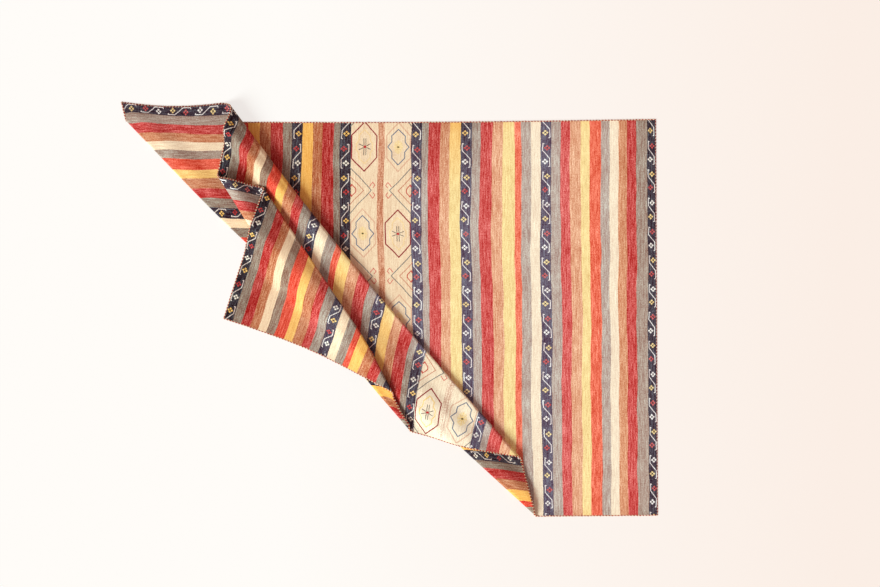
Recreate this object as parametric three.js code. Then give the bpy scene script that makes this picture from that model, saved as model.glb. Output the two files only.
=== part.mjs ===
// A flat-woven wool rug with its lower left half folded back over itself in four diagonal creases,
// so that five layers lie in a back-and-forth section. Millimetres, +Z up, lying on z = 0.
//
// Two sets of coordinates are used. On the flat cloth, u runs along the rug from its left end and
// v runs across it from its top side. In the plan, x runs to the right and y runs towards the top side.
// Layer 0 is the flat main part, and layers 1 to 4 follow it over creases 0 to 3 up to the rug's
// lower left corner, which ends on top.
import * as THREE from 'three';

// ---- driving dimensions ----
const CLOTH_LENGTH = 2054;
const CLOTH_WIDTH = 1472;
const CLOTH_THICKNESS = 4;
const LAYER_PITCH = 9; // mid-surface to mid-surface, where one layer lies on the next
const BINDING_WIDTH = 4;
const BINDING_GAP = 0.3; // from the cloth's cut edge to the yarn round it

// Where each crease crosses the flat cloth's edge, and the side of the stack on which its roll shows:
// 1 is the lower left, -1 the upper right. Lists of three hold at the start, the middle and the end:
// the roll's radius, how much higher the loose cloth stands over it, and how far in its crown is.
// Past the crown the cloth comes down over the fall.
const CREASES = [
  { startU: 67, startV: 0, endU: 1588, endV: CLOTH_WIDTH, side: 1,
    radii: [5.5, 5.5, 10], lifts: [7, 4, 4], crowns: [45, 50, 30], fall: 60 },
  { startU: 0, startV: 424, endU: 1328, endV: CLOTH_WIDTH, side: -1,
    radii: [24, 7.5, 9.5], lifts: [22, 0, 0], crowns: [66, 12, 14], fall: 56 },
  { startU: 0, startV: 738, endU: 897, endV: CLOTH_WIDTH, side: 1,
    radii: [16, 9, 9], lifts: [18, 6, 0], crowns: [20, 36, 12], fall: 76 },
  { startU: 0, startV: 933, endU: 732, endV: CLOTH_WIDTH, side: -1,
    radii: [8, 7, 8], lifts: [8, 1, 0], crowns: [40, 18, 12], fall: 50 },
];

// The crest of each crease in the plan, at even steps from its start to its end: x, y.
const CREASE_ROUTES = [
  [[-983, 701], [-614, 321], [-221, -40], [160, -417], [547, -775]],
  [[-592, 756], [-338, 418], [-69, 84], [209, -241], [490, -559]],
  [[-637, 492], [-477, 245], [-287, 14], [-112, -231], [78, -457]],
  [[-467, 447], [-344, 260], [-218, 71], [-92, -118], [13, -315]],
];

// The rug's corners in the plan.
const TOP_RIGHT = [998, 705];
const BOTTOM_RIGHT = [1005, -775];
const TOP_LEFT = [-1001, 770]; // on layer 1, under the fold
const BOTTOM_LEFT = [-617, -38]; // on layer 4, on top

// How far the weave slips along the fold inside a layer. across: 0 at the layer's first crease and
// 1 at its far side. The other columns hold at the start, the middle and the end of the crease.
const LAYER_SLIPS = {
  2: [
    { across: 0, start: 0, middle: 0, end: 0 },
    { across: 0.25, start: -9.5, middle: -8, end: 0 },
    { across: 0.5, start: -10, middle: -8.5, end: 0 },
    { across: 0.75, start: -5, middle: -4, end: 0 },
    { across: 1, start: 0, middle: 0, end: 0 },
  ],
  4: [
    { across: 0, start: 0, middle: 0, end: 0 },
    { across: 0.25, start: -4, middle: -5, end: -7 },
    { across: 0.5, start: -8, middle: -10.5, end: -9.5 },
    { across: 0.75, start: -5, middle: -7, end: -9 },
    { across: 1, start: 0, middle: 0, end: 0 },
  ],
};

// How far a layer is drawn back towards its first crease, with the same columns.
const LAYER_DRAWS = {
  2: [
    { across: 0, start: 0, middle: 0, end: 0 },
    { across: 0.25, start: 0, middle: 0, end: -9 },
    { across: 0.5, start: 0, middle: 0, end: -12 },
    { across: 0.75, start: 0, middle: 0, end: -6 },
    { across: 1, start: 0, middle: 0, end: 0 },
  ],
  3: [
    { across: 0, start: 0, middle: 0, end: 0 },
    { across: 0.25, start: 0, middle: 0, end: 2 },
    { across: 0.5, start: 0, middle: 0, end: 4 },
    { across: 0.75, start: 0, middle: 0, end: 4 },
    { across: 1, start: 0, middle: 0, end: 0 },
  ],
  4: [
    { across: 0, start: 0, middle: 0, end: 0 },
    { across: 0.25, start: 0, middle: 1, end: 7 },
    { across: 0.5, start: 0, middle: 4.5, end: 14.5 },
    { across: 0.75, start: 0, middle: 2.5, end: 8 },
    { across: 1, start: 0, middle: 0, end: 0 },
  ],
};

// Lengths over which a layer comes down from what lies under it.
const EDGE_FALL = 60; // past the rug's top side and past crease 0
const TOP_FALL_END = 75; // layer 4 is down again this far past crease 2
const STACK_FALL = 60; // layer 4 over the two lowest layers

// The rug's top side sags a little in the plan between its right end and crease 0.
const TOP_SIDE_SAG = 8;

// The tip of layer 1, where the rug's top left corner lies.
const CORNER_REACH = 0.12; // share of the crease over which the corner draws the rows
const TIP_DIP = 14; // how far the left end bows in between the corner and crease 1

// Facets.
const ROW_COUNT = 26;
const LAYER_COLUMNS = [8, 7, 12, 6, 24];
const ROLL_COLUMNS = [5, 6, 5, 5];
const TOP_LAYER_EASE = 1.25; // crowds layer 4's columns towards its crease, where it bends
const ROUTE_SAMPLES = 32;
const ROUTE_OVERRUN = 600; // crease routes are prolonged by this when distances are measured
const TANGENT_STEP = 0.002;

// ---- small helpers ----
const vec2 = ([x, y]) => new THREE.Vector2(x, y);
const mix = (a, b, share) => a.clone().lerp(b, share);
const easeInOut = (share) => THREE.MathUtils.smoothstep(share, 0, 1);

/** The smooth run of three values, at a place from 0 to 1 between the first and the last. */
function eased([first, middle, last], along) {
  return first * (1 - 2 * along) * (1 - along) + middle * 4 * along * (1 - along) + last * along * (2 * along - 1);
}

/** Evenly spaced numbers from 0 to 1. */
function evenShares(count) {
  return Array.from({ length: count + 1 }, (_, index) => index / count);
}

/** A smooth plan curve through evenly spaced stations, straight on past both ends. */
function routeCurve(stations) {
  const points = stations.map(vec2);
  const last = points.length - 1;
  const before = mix(points[1], points[0], 2);
  const after = mix(points[last - 1], points[last], 2);
  const curve = new THREE.SplineCurve([before, ...points, after]);
  return (share) => curve.getPoint((1 + share * last) / (last + 2));
}

/** The value of a table's column at a place across the layer, by cubic steps between its rows. */
function tableValue(rows, column, across) {
  const next = Math.min(rows.length - 1, Math.max(1, rows.findIndex((row) => row.across >= across)));
  const slope = (index) => {
    const low = rows[Math.max(0, index - 1)];
    const high = rows[Math.min(rows.length - 1, index + 1)];
    return (high[column] - low[column]) / (high.across - low.across);
  };
  const [from, to] = [rows[next - 1], rows[next]];
  const span = to.across - from.across;
  const s = (across - from.across) / span;
  return (2 * s ** 3 - 3 * s ** 2 + 1) * from[column] + (s ** 3 - 2 * s ** 2 + s) * span * slope(next - 1)
    + (3 * s ** 2 - 2 * s ** 3) * to[column] + (s ** 3 - s ** 2) * span * slope(next);
}

/** A layer table read at a place across the layer and along its crease. */
function layerValue(rows, across, along) {
  if (!rows) return 0;
  const [start, middle, end] = ['start', 'middle', 'end'].map((column) => tableValue(rows, column, across));
  return along < 0.5 ? start + (middle - start) * along * 2 : middle + (end - middle) * (along * 2 - 1);
}

// ---- creases ----
const creases = CREASES.map((sizes, index) => {
  const route = routeCurve(CREASE_ROUTES[index]);
  const flatStart = new THREE.Vector2(sizes.startU, sizes.startV);
  const flatEnd = new THREE.Vector2(sizes.endU, sizes.endV);
  const samples = evenShares(ROUTE_SAMPLES).map(route);
  const lead = samples[0].clone().sub(samples[1]).setLength(ROUTE_OVERRUN);
  const trail = samples[ROUTE_SAMPLES].clone().sub(samples[ROUTE_SAMPLES - 1]).setLength(ROUTE_OVERRUN);
  const line = [samples[0].clone().add(lead), ...samples, samples[ROUTE_SAMPLES].clone().add(trail)];
  const chord = route(1).sub(route(0)).normalize();
  const flatDirection = flatEnd.clone().sub(flatStart).normalize();
  return { ...sizes, route, flatStart, flatEnd, line, chord, flatDirection };
});

/**
 * The plan distance from a crease, positive on its upper right side and negative on its lower left
 * side, and the nearest place along it, from 0 to 1.
 */
function nearestOn(crease, point) {
  let nearest = Infinity;
  let signed = 0;
  let along = 0;
  for (let index = 1; index < crease.line.length; index += 1) {
    const start = crease.line[index - 1];
    const run = crease.line[index].clone().sub(start);
    const offset = point.clone().sub(start);
    const share = THREE.MathUtils.clamp(offset.dot(run) / run.lengthSq(), 0, 1);
    const distance = offset.clone().addScaledVector(run, -share).length();
    if (distance < nearest) {
      nearest = distance;
      signed = distance * Math.sign(run.cross(offset));
      along = THREE.MathUtils.clamp((index - 2 + share) / ROUTE_SAMPLES, 0, 1);
    }
  }
  return { signed, along };
}

/** How much higher than one pitch the upper layer stands inside a crease's crest. */
function swell(crease, inside, along) {
  const crown = eased(crease.crowns, along);
  const full = 2 * eased(crease.radii, along) - LAYER_PITCH + eased(crease.lifts, along) * easeInOut(inside / crown);
  return full * (1 - easeInOut((inside - crown) / crease.fall));
}

/** Height of a layer's mid-surface over the floor: it rests on what lies under it. */
function layerHeight(layer, point) {
  const floor = CLOTH_THICKNESS / 2;
  if (layer === 0) return floor;
  const spots = creases.map((crease) => nearestOn(crease, point));
  const swells = creases.map((crease, index) => swell(crease, spots[index].signed * crease.side, spots[index].along));
  const onMain = easeInOut(1 + (TOP_RIGHT[1] - point.y) / EDGE_FALL);
  if (layer === 1) return floor + onMain * (LAYER_PITCH + swells[0]);
  const onStack = easeInOut(1 + spots[0].signed / EDGE_FALL);
  const second = floor + onStack * (LAYER_PITCH * (1 + onMain) + onMain * swells[0]) + swells[1];
  if (layer === 2) return second;
  const third = second + LAYER_PITCH + swells[2];
  if (layer === 3) return third;
  const over = creases[2];
  const { signed, along } = spots[2];
  const crown = eased(over.crowns, along);
  if (signed > crown) return third + LAYER_PITCH + swells[3];
  const rise = 2 * eased(over.radii, along) + LAYER_PITCH + eased(over.lifts, along) + swells[1] + swells[3];
  const under = (2 * LAYER_PITCH + swells[0]) * easeInOut(1 + spots[0].signed / STACK_FALL);
  return floor + under + rise * easeInOut((signed + TOP_FALL_END) / (TOP_FALL_END + crown));
}

// ---- rows of the folded cloth ----
/** Where one row of the weave crosses a crease, and which way it runs there on the flat cloth. */
function rowCrossings(along) {
  const flats = creases.map((crease) => mix(crease.flatStart, crease.flatEnd, along));
  const flatEnd = new THREE.Vector2(0, CLOTH_WIDTH);
  return creases.map((crease, index) => {
    const next = flats[index + 1] ?? flatEnd;
    const heading = index === 0 ? new THREE.Vector2(-1, 0) : next.clone().sub(flats[index]).normalize();
    const ahead = crease.route(Math.min(1, along + TANGENT_STEP));
    const tangent = ahead.sub(crease.route(Math.max(0, along - TANGENT_STEP))).normalize();
    const outward = new THREE.Vector2(tangent.y, -tangent.x).multiplyScalar(crease.side);
    const rollRadius = eased(crease.radii, along);
    return { ...crease, rollRadius, flat: flats[index], crest: crease.route(along), heading, tangent, outward };
  });
}

/** The point of a row on a crease's roll, at an angle from -90 (lower layer) to 90 degrees (upper). */
function rollPoint(crossing, angle) {
  const cosine = crossing.heading.dot(crossing.flatDirection);
  const run = (crossing.rollRadius * angle) / Math.sqrt(1 - cosine * cosine);
  const flat = crossing.flat.clone().addScaledVector(crossing.heading, run);
  const plan = crossing.crest.clone()
    .addScaledVector(crossing.outward, -crossing.rollRadius * (1 - Math.cos(angle)))
    .addScaledVector(crossing.tangent, run * cosine);
  return { flat, plan };
}

/** Straight points from the right end to crease 0. */
function mainPoints(along, end) {
  const flat = new THREE.Vector2(CLOTH_LENGTH, CLOTH_WIDTH * along);
  const plan = mix(vec2(TOP_RIGHT), vec2(BOTTOM_RIGHT), along);
  return evenShares(LAYER_COLUMNS[0]).map((across) => {
    const sag = new THREE.Vector2(0, -TOP_SIDE_SAG * Math.sin(Math.PI * across) * (1 - along));
    return { flat: mix(flat, end.flat, across), plan: mix(plan, end.plan, across).add(sag) };
  });
}

/** Points across a layer that keeps its lengths where it slopes, with the layer's slip and draw. */
function slopedPoints(layer, along, start, end) {
  const nextChord = creases[layer]?.chord ?? creases[layer - 1].chord;
  const parallel = creases[layer - 1].chord.clone().add(nextChord).normalize();
  const square = new THREE.Vector2(-parallel.y, parallel.x);
  const step = end.plan.clone().sub(start.plan);
  const reach = { parallel: step.dot(parallel), square: step.dot(square) };
  const columns = evenShares(LAYER_COLUMNS[layer]).map((share) => share ** (layer === 4 ? TOP_LAYER_EASE : 1));
  let plans = columns.map((across) => mix(start.plan, end.plan, across));
  let lengths = columns;
  for (let pass = 0; pass < 2; pass += 1) {
    const heights = plans.map((plan) => layerHeight(layer, plan));
    lengths = [0];
    for (let index = 1; index < columns.length; index += 1) {
      const level = reach.square * (columns[index] - columns[index - 1]);
      lengths.push(lengths[index - 1] + Math.hypot(level, heights[index] - heights[index - 1]));
    }
    const whole = lengths[columns.length - 1];
    lengths = lengths.map((length) => length / whole);
    plans = columns.map((across, index) => {
      const draw = layerValue(LAYER_DRAWS[layer], across, along) * Math.sign(reach.square);
      const slip = layerValue(LAYER_SLIPS[layer], across, along);
      return start.plan.clone()
        .addScaledVector(square, reach.square * across - draw)
        .addScaledVector(parallel, reach.parallel * lengths[index] + slip);
    });
  }
  return plans.map((plan, index) => ({ plan, flat: mix(start.flat, end.flat, lengths[index]) }));
}

/** Points across layer 1, whose first rows are drawn round the rug's top left corner. */
function cornerPoints(along, start, end, firstRow) {
  const pull = Math.max(0, 1 - along / CORNER_REACH) ** 2;
  const columns = LAYER_COLUMNS[1];
  const corner = { flat: new THREE.Vector2(0, 0), plan: vec2(TOP_LEFT) };
  const first = firstRow.start.flat.distanceTo(corner.flat);
  const whole = first + firstRow.end.flat.distanceTo(corner.flat);
  const cornerShare = first / whole;
  const shares = [0, cornerShare];
  for (let index = 2; index <= columns; index += 1) {
    shares.push(cornerShare + ((1 - cornerShare) * (index - 1)) / (columns - 1));
  }
  return shares.map((share) => {
    const beyond = (share - cornerShare) / (1 - cornerShare);
    const bent = (key) => (beyond < 0
      ? mix(firstRow.start[key], corner[key], share / cornerShare)
      : mix(corner[key], firstRow.end[key], beyond));
    const dip = new THREE.Vector2(0, -TIP_DIP * Math.sin(Math.PI * Math.max(0, beyond)));
    const [flat, plan] = ['flat', 'plan'].map((key) => {
      const straight = mix(firstRow.start[key], firstRow.end[key], share);
      const draw = bent(key).sub(straight);
      if (key === 'plan') draw.add(dip);
      return mix(start[key], end[key], share).addScaledVector(draw, pull);
    });
    return { flat, plan };
  });
}

/** One row of the cloth, from the right end over the four creases to the bottom left corner. */
function clothRow(along, firstRow) {
  const crossings = rowCrossings(along);
  const quarter = Math.PI / 2;
  const layers = [];
  for (let layer = 0; layer <= creases.length; layer += 1) {
    const corner = { flat: new THREE.Vector2(0, CLOTH_WIDTH), plan: vec2(BOTTOM_LEFT) };
    const end = crossings[layer] ? rollPoint(crossings[layer], -quarter) : corner;
    const start = layer > 0 ? rollPoint(crossings[layer - 1], quarter) : null;
    if (layer === 0) layers.push(mainPoints(along, end));
    else if (layer === 1) layers.push(cornerPoints(along, start, end, firstRow ?? { start, end }));
    else layers.push(slopedPoints(layer, along, start, end));
  }
  const points = [];
  layers.forEach((layerPoints, layer) => {
    const heights = layerPoints.map(({ plan }) => layerHeight(layer, plan));
    layerPoints.forEach(({ plan, flat }, index) => {
      points.push({ flat, position: new THREE.Vector3(plan.x, plan.y, heights[index]) });
    });
    if (layer === creases.length) return;
    const lower = heights[heights.length - 1];
    const upper = layerHeight(layer + 1, rollPoint(crossings[layer], quarter).plan);
    evenShares(ROLL_COLUMNS[layer]).slice(1, -1).forEach((share) => {
      const angle = (2 * share - 1) * quarter;
      const { plan, flat } = rollPoint(crossings[layer], angle);
      const height = (lower + upper) / 2 + ((upper - lower) / 2) * Math.sin(angle);
      points.push({ flat, position: new THREE.Vector3(plan.x, plan.y, height) });
    });
  });
  return points;
}

/** The whole folded mid-surface: rows from the rug's top side and left end to its bottom side. */
function foldedRows() {
  const crossings = rowCrossings(0);
  const firstRow = { start: rollPoint(crossings[0], Math.PI / 2), end: rollPoint(crossings[1], -Math.PI / 2) };
  return evenShares(ROW_COUNT).map((along) => clothRow(along, firstRow));
}

/** Unit normals of the mid-surface, pointing out of the rug's face. */
function faceNormals(rows) {
  const at = (row, column) => rows[row][column].position;
  return rows.map((points, row) => points.map((_, column) => {
    const lastRow = rows.length - 1;
    const lastColumn = points.length - 1;
    const usedColumn = Math.min(column, lastColumn - 1);
    const down = at(Math.min(row + 1, lastRow), usedColumn).clone().sub(at(Math.max(row - 1, 0), usedColumn));
    const left = at(row, Math.min(column + 1, lastColumn)).clone().sub(at(row, Math.max(column - 1, 0)));
    return left.cross(down).normalize();
  }));
}

// ---- solids ----
/** A geometry from points and triangles, without triangles that have no area. */
function solidGeometry(points, triangles) {
  const geometry = new THREE.BufferGeometry();
  geometry.setAttribute('position', new THREE.Float32BufferAttribute(points.flatMap((point) => point.toArray()), 3));
  geometry.setIndex(triangles.filter(([a, b, c]) => a !== b && b !== c && c !== a).flat());
  geometry.computeVertexNormals();
  return geometry;
}

/** The cloth: the mid-surface given its thickness, with its cut edges closed. */
function clothGeometry(rows, normals) {
  const columns = rows[0].length;
  const lastRow = rows.length - 1;
  const points = [];
  const index = { face: [], back: [] };
  Object.entries({ face: 0.5, back: -0.5 }).forEach(([side, share]) => {
    rows.forEach((rowPoints, row) => {
      index[side][row] = rowPoints.map(({ position }, column) => {
        if (column === columns - 1 && row > 0) return index[side][0][column];
        const offset = normals[row][column];
        points.push(position.clone().addScaledVector(offset, CLOTH_THICKNESS * share));
        return points.length - 1;
      });
    });
  });
  const { face, back } = index;
  const triangles = [];
  const quad = (a, b, c, d) => triangles.push([a, b, c], [a, c, d]);
  for (let row = 0; row < lastRow; row += 1) {
    for (let column = 0; column < columns - 1; column += 1) {
      quad(face[row][column], face[row][column + 1], face[row + 1][column + 1], face[row + 1][column]);
      quad(back[row][column], back[row + 1][column], back[row + 1][column + 1], back[row][column + 1]);
    }
    quad(face[row][0], face[row + 1][0], back[row + 1][0], back[row][0]);
  }
  for (let column = 0; column < columns - 1; column += 1) {
    quad(face[0][column], back[0][column], back[0][column + 1], face[0][column + 1]);
    quad(face[lastRow][column + 1], back[lastRow][column + 1], back[lastRow][column], face[lastRow][column]);
  }
  return solidGeometry(points, triangles);
}

/** The yarn round one edge: a rounded strip that follows the edge, just off the cloth. */
function bindingGeometry(edge) {
  const half = CLOTH_THICKNESS / 2;
  const section = [[0, -1], [0.65, -1], [1, -0.45], [1, 0.45], [0.65, 1], [0, 1]]
    .map(([out, up]) => [BINDING_GAP + out * BINDING_WIDTH, up * half]);
  const points = edge.flatMap(({ position, normal }, step) => {
    const before = edge[Math.max(0, step - 1)].position;
    const after = edge[Math.min(edge.length - 1, step + 1)].position;
    const forward = after.clone().sub(before).normalize();
    const outward = forward.clone().cross(normal).normalize();
    return section.map(([out, up]) => {
      const point = position.clone().addScaledVector(outward, out).addScaledVector(normal, up);
      return point.setZ(Math.max(0, point.z));
    });
  });
  const sides = section.length;
  const triangles = [];
  for (let step = 0; step < edge.length - 1; step += 1) {
    for (let side = 0; side < sides; side += 1) {
      const [a, b] = [step * sides + side, step * sides + ((side + 1) % sides)];
      triangles.push([a, b + sides, b], [a, a + sides, b + sides]);
    }
  }
  const last = (edge.length - 1) * sides;
  for (let side = 1; side < sides - 1; side += 1) {
    triangles.push([0, side, side + 1], [last, last + side + 1, last + side]);
  }
  return solidGeometry(points, triangles);
}

/** The four edges of the cloth, each as a run of places with their normals, cloth on its left. */
function clothEdges(rows, normals) {
  const place = (row, column) => ({ position: rows[row][column].position, normal: normals[row][column] });
  const lastRow = rows.length - 1;
  const columns = rows[0].map((_, column) => column);
  const cornerColumn = rows[0].findIndex(({ flat }) => flat.length() < 1);
  return {
    binding_right_end: rows.map((_, row) => place(lastRow - row, 0)),
    binding_top_side: columns.slice(0, cornerColumn + 1).map((column) => place(0, column)),
    binding_left_end: columns.slice(cornerColumn).map((column) => place(0, column)),
    binding_bottom_side: columns.map((column) => place(lastRow, column)).reverse(),
  };
}

// ---- the rug ----
const rug = new THREE.Group();
const woolMaterial = new THREE.MeshStandardMaterial({ color: 0xb9624d, roughness: 0.95, metalness: 0 });
const yarnMaterial = new THREE.MeshStandardMaterial({ color: 0xb4463f, roughness: 0.95, metalness: 0 });

/** Adds one named piece to the rug. */
function addPiece(name, geometry, material) {
  const mesh = new THREE.Mesh(geometry, material);
  mesh.name = name;
  rug.add(mesh);
}

const rows = foldedRows();
const normals = faceNormals(rows);
addPiece('cloth', clothGeometry(rows, normals), woolMaterial);
Object.entries(clothEdges(rows, normals)).forEach(([name, edge]) => {
  addPiece(name, bindingGeometry(edge), yarnMaterial);
});

// The origin is under the middle of the rug's outline.
const outline = new THREE.Box3().setFromObject(rug);
const middle = outline.getCenter(new THREE.Vector3());
rug.position.set(-middle.x, -middle.y, -outline.min.z);

export default rug;
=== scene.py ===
"""The look of a flat-woven wool rug that lies folded back over itself in four diagonal creases."""

import logging
import math
from dataclasses import dataclass, field
from enum import Enum
from functools import reduce
from typing import Any, ClassVar, Mapping, Sequence

import bpy
import numpy as np
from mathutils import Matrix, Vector


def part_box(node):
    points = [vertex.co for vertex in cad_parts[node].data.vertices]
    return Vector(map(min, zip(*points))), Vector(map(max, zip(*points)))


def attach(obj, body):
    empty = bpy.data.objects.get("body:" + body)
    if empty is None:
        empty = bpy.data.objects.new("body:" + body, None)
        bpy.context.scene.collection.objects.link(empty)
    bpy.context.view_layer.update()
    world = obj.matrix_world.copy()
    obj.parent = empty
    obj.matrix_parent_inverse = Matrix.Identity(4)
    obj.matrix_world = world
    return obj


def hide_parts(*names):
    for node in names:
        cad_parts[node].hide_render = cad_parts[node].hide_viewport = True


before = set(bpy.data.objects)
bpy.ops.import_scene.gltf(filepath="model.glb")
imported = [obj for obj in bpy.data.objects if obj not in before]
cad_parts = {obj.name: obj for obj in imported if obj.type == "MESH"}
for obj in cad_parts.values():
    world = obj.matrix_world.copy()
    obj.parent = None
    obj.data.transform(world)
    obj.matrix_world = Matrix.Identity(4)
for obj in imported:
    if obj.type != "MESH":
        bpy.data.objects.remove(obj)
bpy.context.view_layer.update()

LOG = logging.getLogger("rug")
MM = 0.001
Pair = tuple[float, float]
Triple = tuple[float, float, float]
Rows = tuple[np.ndarray, np.ndarray]
Table = tuple[Triple, ...]
Dye = tuple[int, int, int]
Colour = tuple[float, float, float, float]
Socket = bpy.types.NodeSocket


# ---- the folded shape ----


def smooth(share: np.ndarray) -> np.ndarray:
    """An even S-curve from 0 to 1."""
    held = np.clip(share, 0, 1)
    return held * held * (3 - 2 * held)


def spline(stations: Sequence[Sequence[float]], share: np.ndarray) -> np.ndarray:
    """A smooth curve through evenly spaced stations, running straight on at its ends.

    Args:
        stations: the points or rows of numbers it goes through.
        share: places along it, from 0 to 1.

    Returns:
        One row of numbers for each place.
    """
    rows = np.asarray(stations, float)
    last = len(rows) - 1
    rows = np.concatenate([[2 * rows[0] - rows[1]], rows, [2 * rows[-1] - rows[-2]]])
    place = np.asarray(share, float) * last
    index = np.clip(np.floor(place).astype(int), 0, last - 1)
    step = (place - index)[..., None]
    before, start, end, after = (rows[index + offset] for offset in range(4))
    leave, arrive = (end - before) / 2, (after - start) / 2
    return (
        start * (2 * step**3 - 3 * step**2 + 1)
        + end * (3 * step**2 - 2 * step**3)
        + leave * (step**3 - 2 * step**2 + step)
        + arrive * (step**3 - step**2)
    )


def eased(values: Any, along: np.ndarray) -> np.ndarray:
    """The smooth run of three values.

    Args:
        values: the first, the middle and the last.
        along: places from 0 at the first to 1 at the last.

    Returns:
        The values there.
    """
    first, middle, last = values
    leaving = first * (1 - 2 * along) * (1 - along)
    arriving = last * along * (2 * along - 1)
    return leaving + middle * 4 * along * (1 - along) + arriving


def unit(vectors: np.ndarray) -> np.ndarray:
    """The vectors, each one long."""
    return vectors / np.maximum(np.linalg.norm(vectors, axis=-1, keepdims=True), 1e-9)


def turned(vectors: np.ndarray) -> np.ndarray:
    """Plan vectors turned a quarter to the left."""
    return np.stack([-vectors[..., 1], vectors[..., 0]], -1)


@dataclass(frozen=True)
class Crease:
    """One crease of the folded cloth, in millimetres.

    start and end are where it meets the edges of the flat cloth, and route is its crest in the plan, at
    even steps. side is 1 where the roll shows on the lower left of the stack and -1 on the upper right.
    Three numbers are for the start, the middle and the end: the roll's radius, how much higher the loose
    cloth stands over it, and how far in its crown is. Past the crown the cloth falls over fall.
    """

    start: Pair
    end: Pair
    side: int
    radii: Triple
    lifts: Triple
    crowns: Triple
    fall: float
    route: tuple[Pair, ...]

    def crest(self, along: np.ndarray) -> np.ndarray:
        """The crest's plan points at places from 0 to 1."""
        return spline(self.route, along)

    def tangent(self, along: np.ndarray) -> np.ndarray:
        """The crest's plan directions at places from 0 to 1."""
        step = 0.002
        return unit(self.crest(np.minimum(1, along + step)) - self.crest(np.maximum(0, along - step)))

    def flat(self, along: np.ndarray) -> np.ndarray:
        """The crease's points on the flat cloth."""
        return np.asarray(self.start) + np.asarray(along)[..., None] * np.subtract(self.end, self.start)

    def swell(self, distance: np.ndarray, along: np.ndarray, pitch: float) -> np.ndarray:
        """How much higher than one pitch the upper layer stands.

        Args:
            distance: how far inside the crest.
            along: the nearest places along it.
            pitch: the usual distance between layers.

        Returns:
            The extra heights.
        """
        crown = eased(self.crowns, along)
        full = 2 * eased(self.radii, along) - pitch + eased(self.lifts, along) * smooth(distance / crown)
        return full * (1 - smooth((distance - crown) / self.fall))

    def chord(self) -> np.ndarray:
        """The plan direction from its first station to its last."""
        return unit(np.subtract(self.route[-1], self.route[0]))

    def distance(self, plan: np.ndarray) -> Rows:
        """How far plan points are from the crest line, and where along it.

        Args:
            plan: points, as the last axis of any array.

        Returns:
            The distances, positive on its upper right side, and the nearest places from 0 to 1.
        """
        overrun, samples = 600.0, 32
        line = self.crest(np.linspace(0, 1, samples + 1))
        lead = line[0] + unit(line[0] - line[1]) * overrun
        trail = line[-1] + unit(line[-1] - line[-2]) * overrun
        line = np.concatenate([[lead], line, [trail]])
        nearest = np.full(plan.shape[:-1], np.inf)
        signed = np.zeros(plan.shape[:-1])
        along = np.zeros(plan.shape[:-1])
        for index, (start, end) in enumerate(zip(line[:-1], line[1:])):
            run, offset = end - start, plan - start
            share = np.clip(offset @ run / (run @ run), 0, 1)
            gap = np.linalg.norm(offset - share[..., None] * run, axis=-1)
            closer = gap < nearest
            nearest = np.where(closer, gap, nearest)
            side = np.sign(run[0] * offset[..., 1] - run[1] * offset[..., 0])
            signed = np.where(closer, gap * side, signed)
            along = np.where(closer, np.clip((index - 1 + share) / samples, 0, 1), along)
        return signed, along


CREASES = (
    Crease(
        start=(67, 0),
        end=(1588, 1472),
        side=1,
        radii=(5.5, 5.5, 10),
        lifts=(7, 4, 4),
        crowns=(45, 50, 30),
        fall=60,
        route=((-983, 701), (-614, 321), (-221, -40), (160, -417), (547, -775)),
    ),
    Crease(
        start=(0, 424),
        end=(1328, 1472),
        side=-1,
        radii=(24, 7.5, 9.5),
        lifts=(22, 0, 0),
        crowns=(66, 12, 14),
        fall=56,
        route=((-592, 756), (-338, 418), (-69, 84), (209, -241), (490, -559)),
    ),
    Crease(
        start=(0, 738),
        end=(897, 1472),
        side=1,
        radii=(16, 9, 9),
        lifts=(18, 6, 0),
        crowns=(20, 36, 12),
        fall=76,
        route=((-637, 492), (-477, 245), (-287, 14), (-112, -231), (78, -457)),
    ),
    Crease(
        start=(0, 933),
        end=(732, 1472),
        side=-1,
        radii=(8, 7, 8),
        lifts=(8, 1, 0),
        crowns=(40, 18, 12),
        fall=50,
        route=((-467, 447), (-344, 260), (-218, 71), (-92, -118), (13, -315)),
    ),
)

# How far a layer's cloth has slipped along its creases, and how far it is drawn back across them. The rows
# are at even steps across the layer, each in millimetres at the start, the middle and the end of a crease.
SLIPS: dict[int, Table] = {
    2: ((0, 0, 0), (-9.5, -8, 0), (-10, -8.5, 0), (-5, -4, 0), (0, 0, 0)),
    4: ((0, 0, 0), (-4, -5, -7), (-8, -10.5, -9.5), (-5, -7, -9), (0, 0, 0)),
}
DRAWS: dict[int, Table] = {
    2: ((0, 0, 0), (0, 0, -9), (0, 0, -12), (0, 0, -6), (0, 0, 0)),
    3: ((0, 0, 0), (0, 0, 2), (0, 0, 4), (0, 0, 4), (0, 0, 0)),
    4: ((0, 0, 0), (0, 1, 7), (0, 4.5, 14.5), (0, 2.5, 8), (0, 0, 0)),
}


def table_value(table: Table | None, along: np.ndarray, across: np.ndarray) -> np.ndarray:
    """Reads a layer's table.

    Args:
        table: rows at even steps across the layer, or nothing.
        along: places along the crease.
        across: places across the layer.

    Returns:
        A number for each pair of places, as [along, across].
    """
    if not table:
        return np.zeros((len(along), len(across)))
    return eased(spline(table, across).T, along[:, None])


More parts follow.
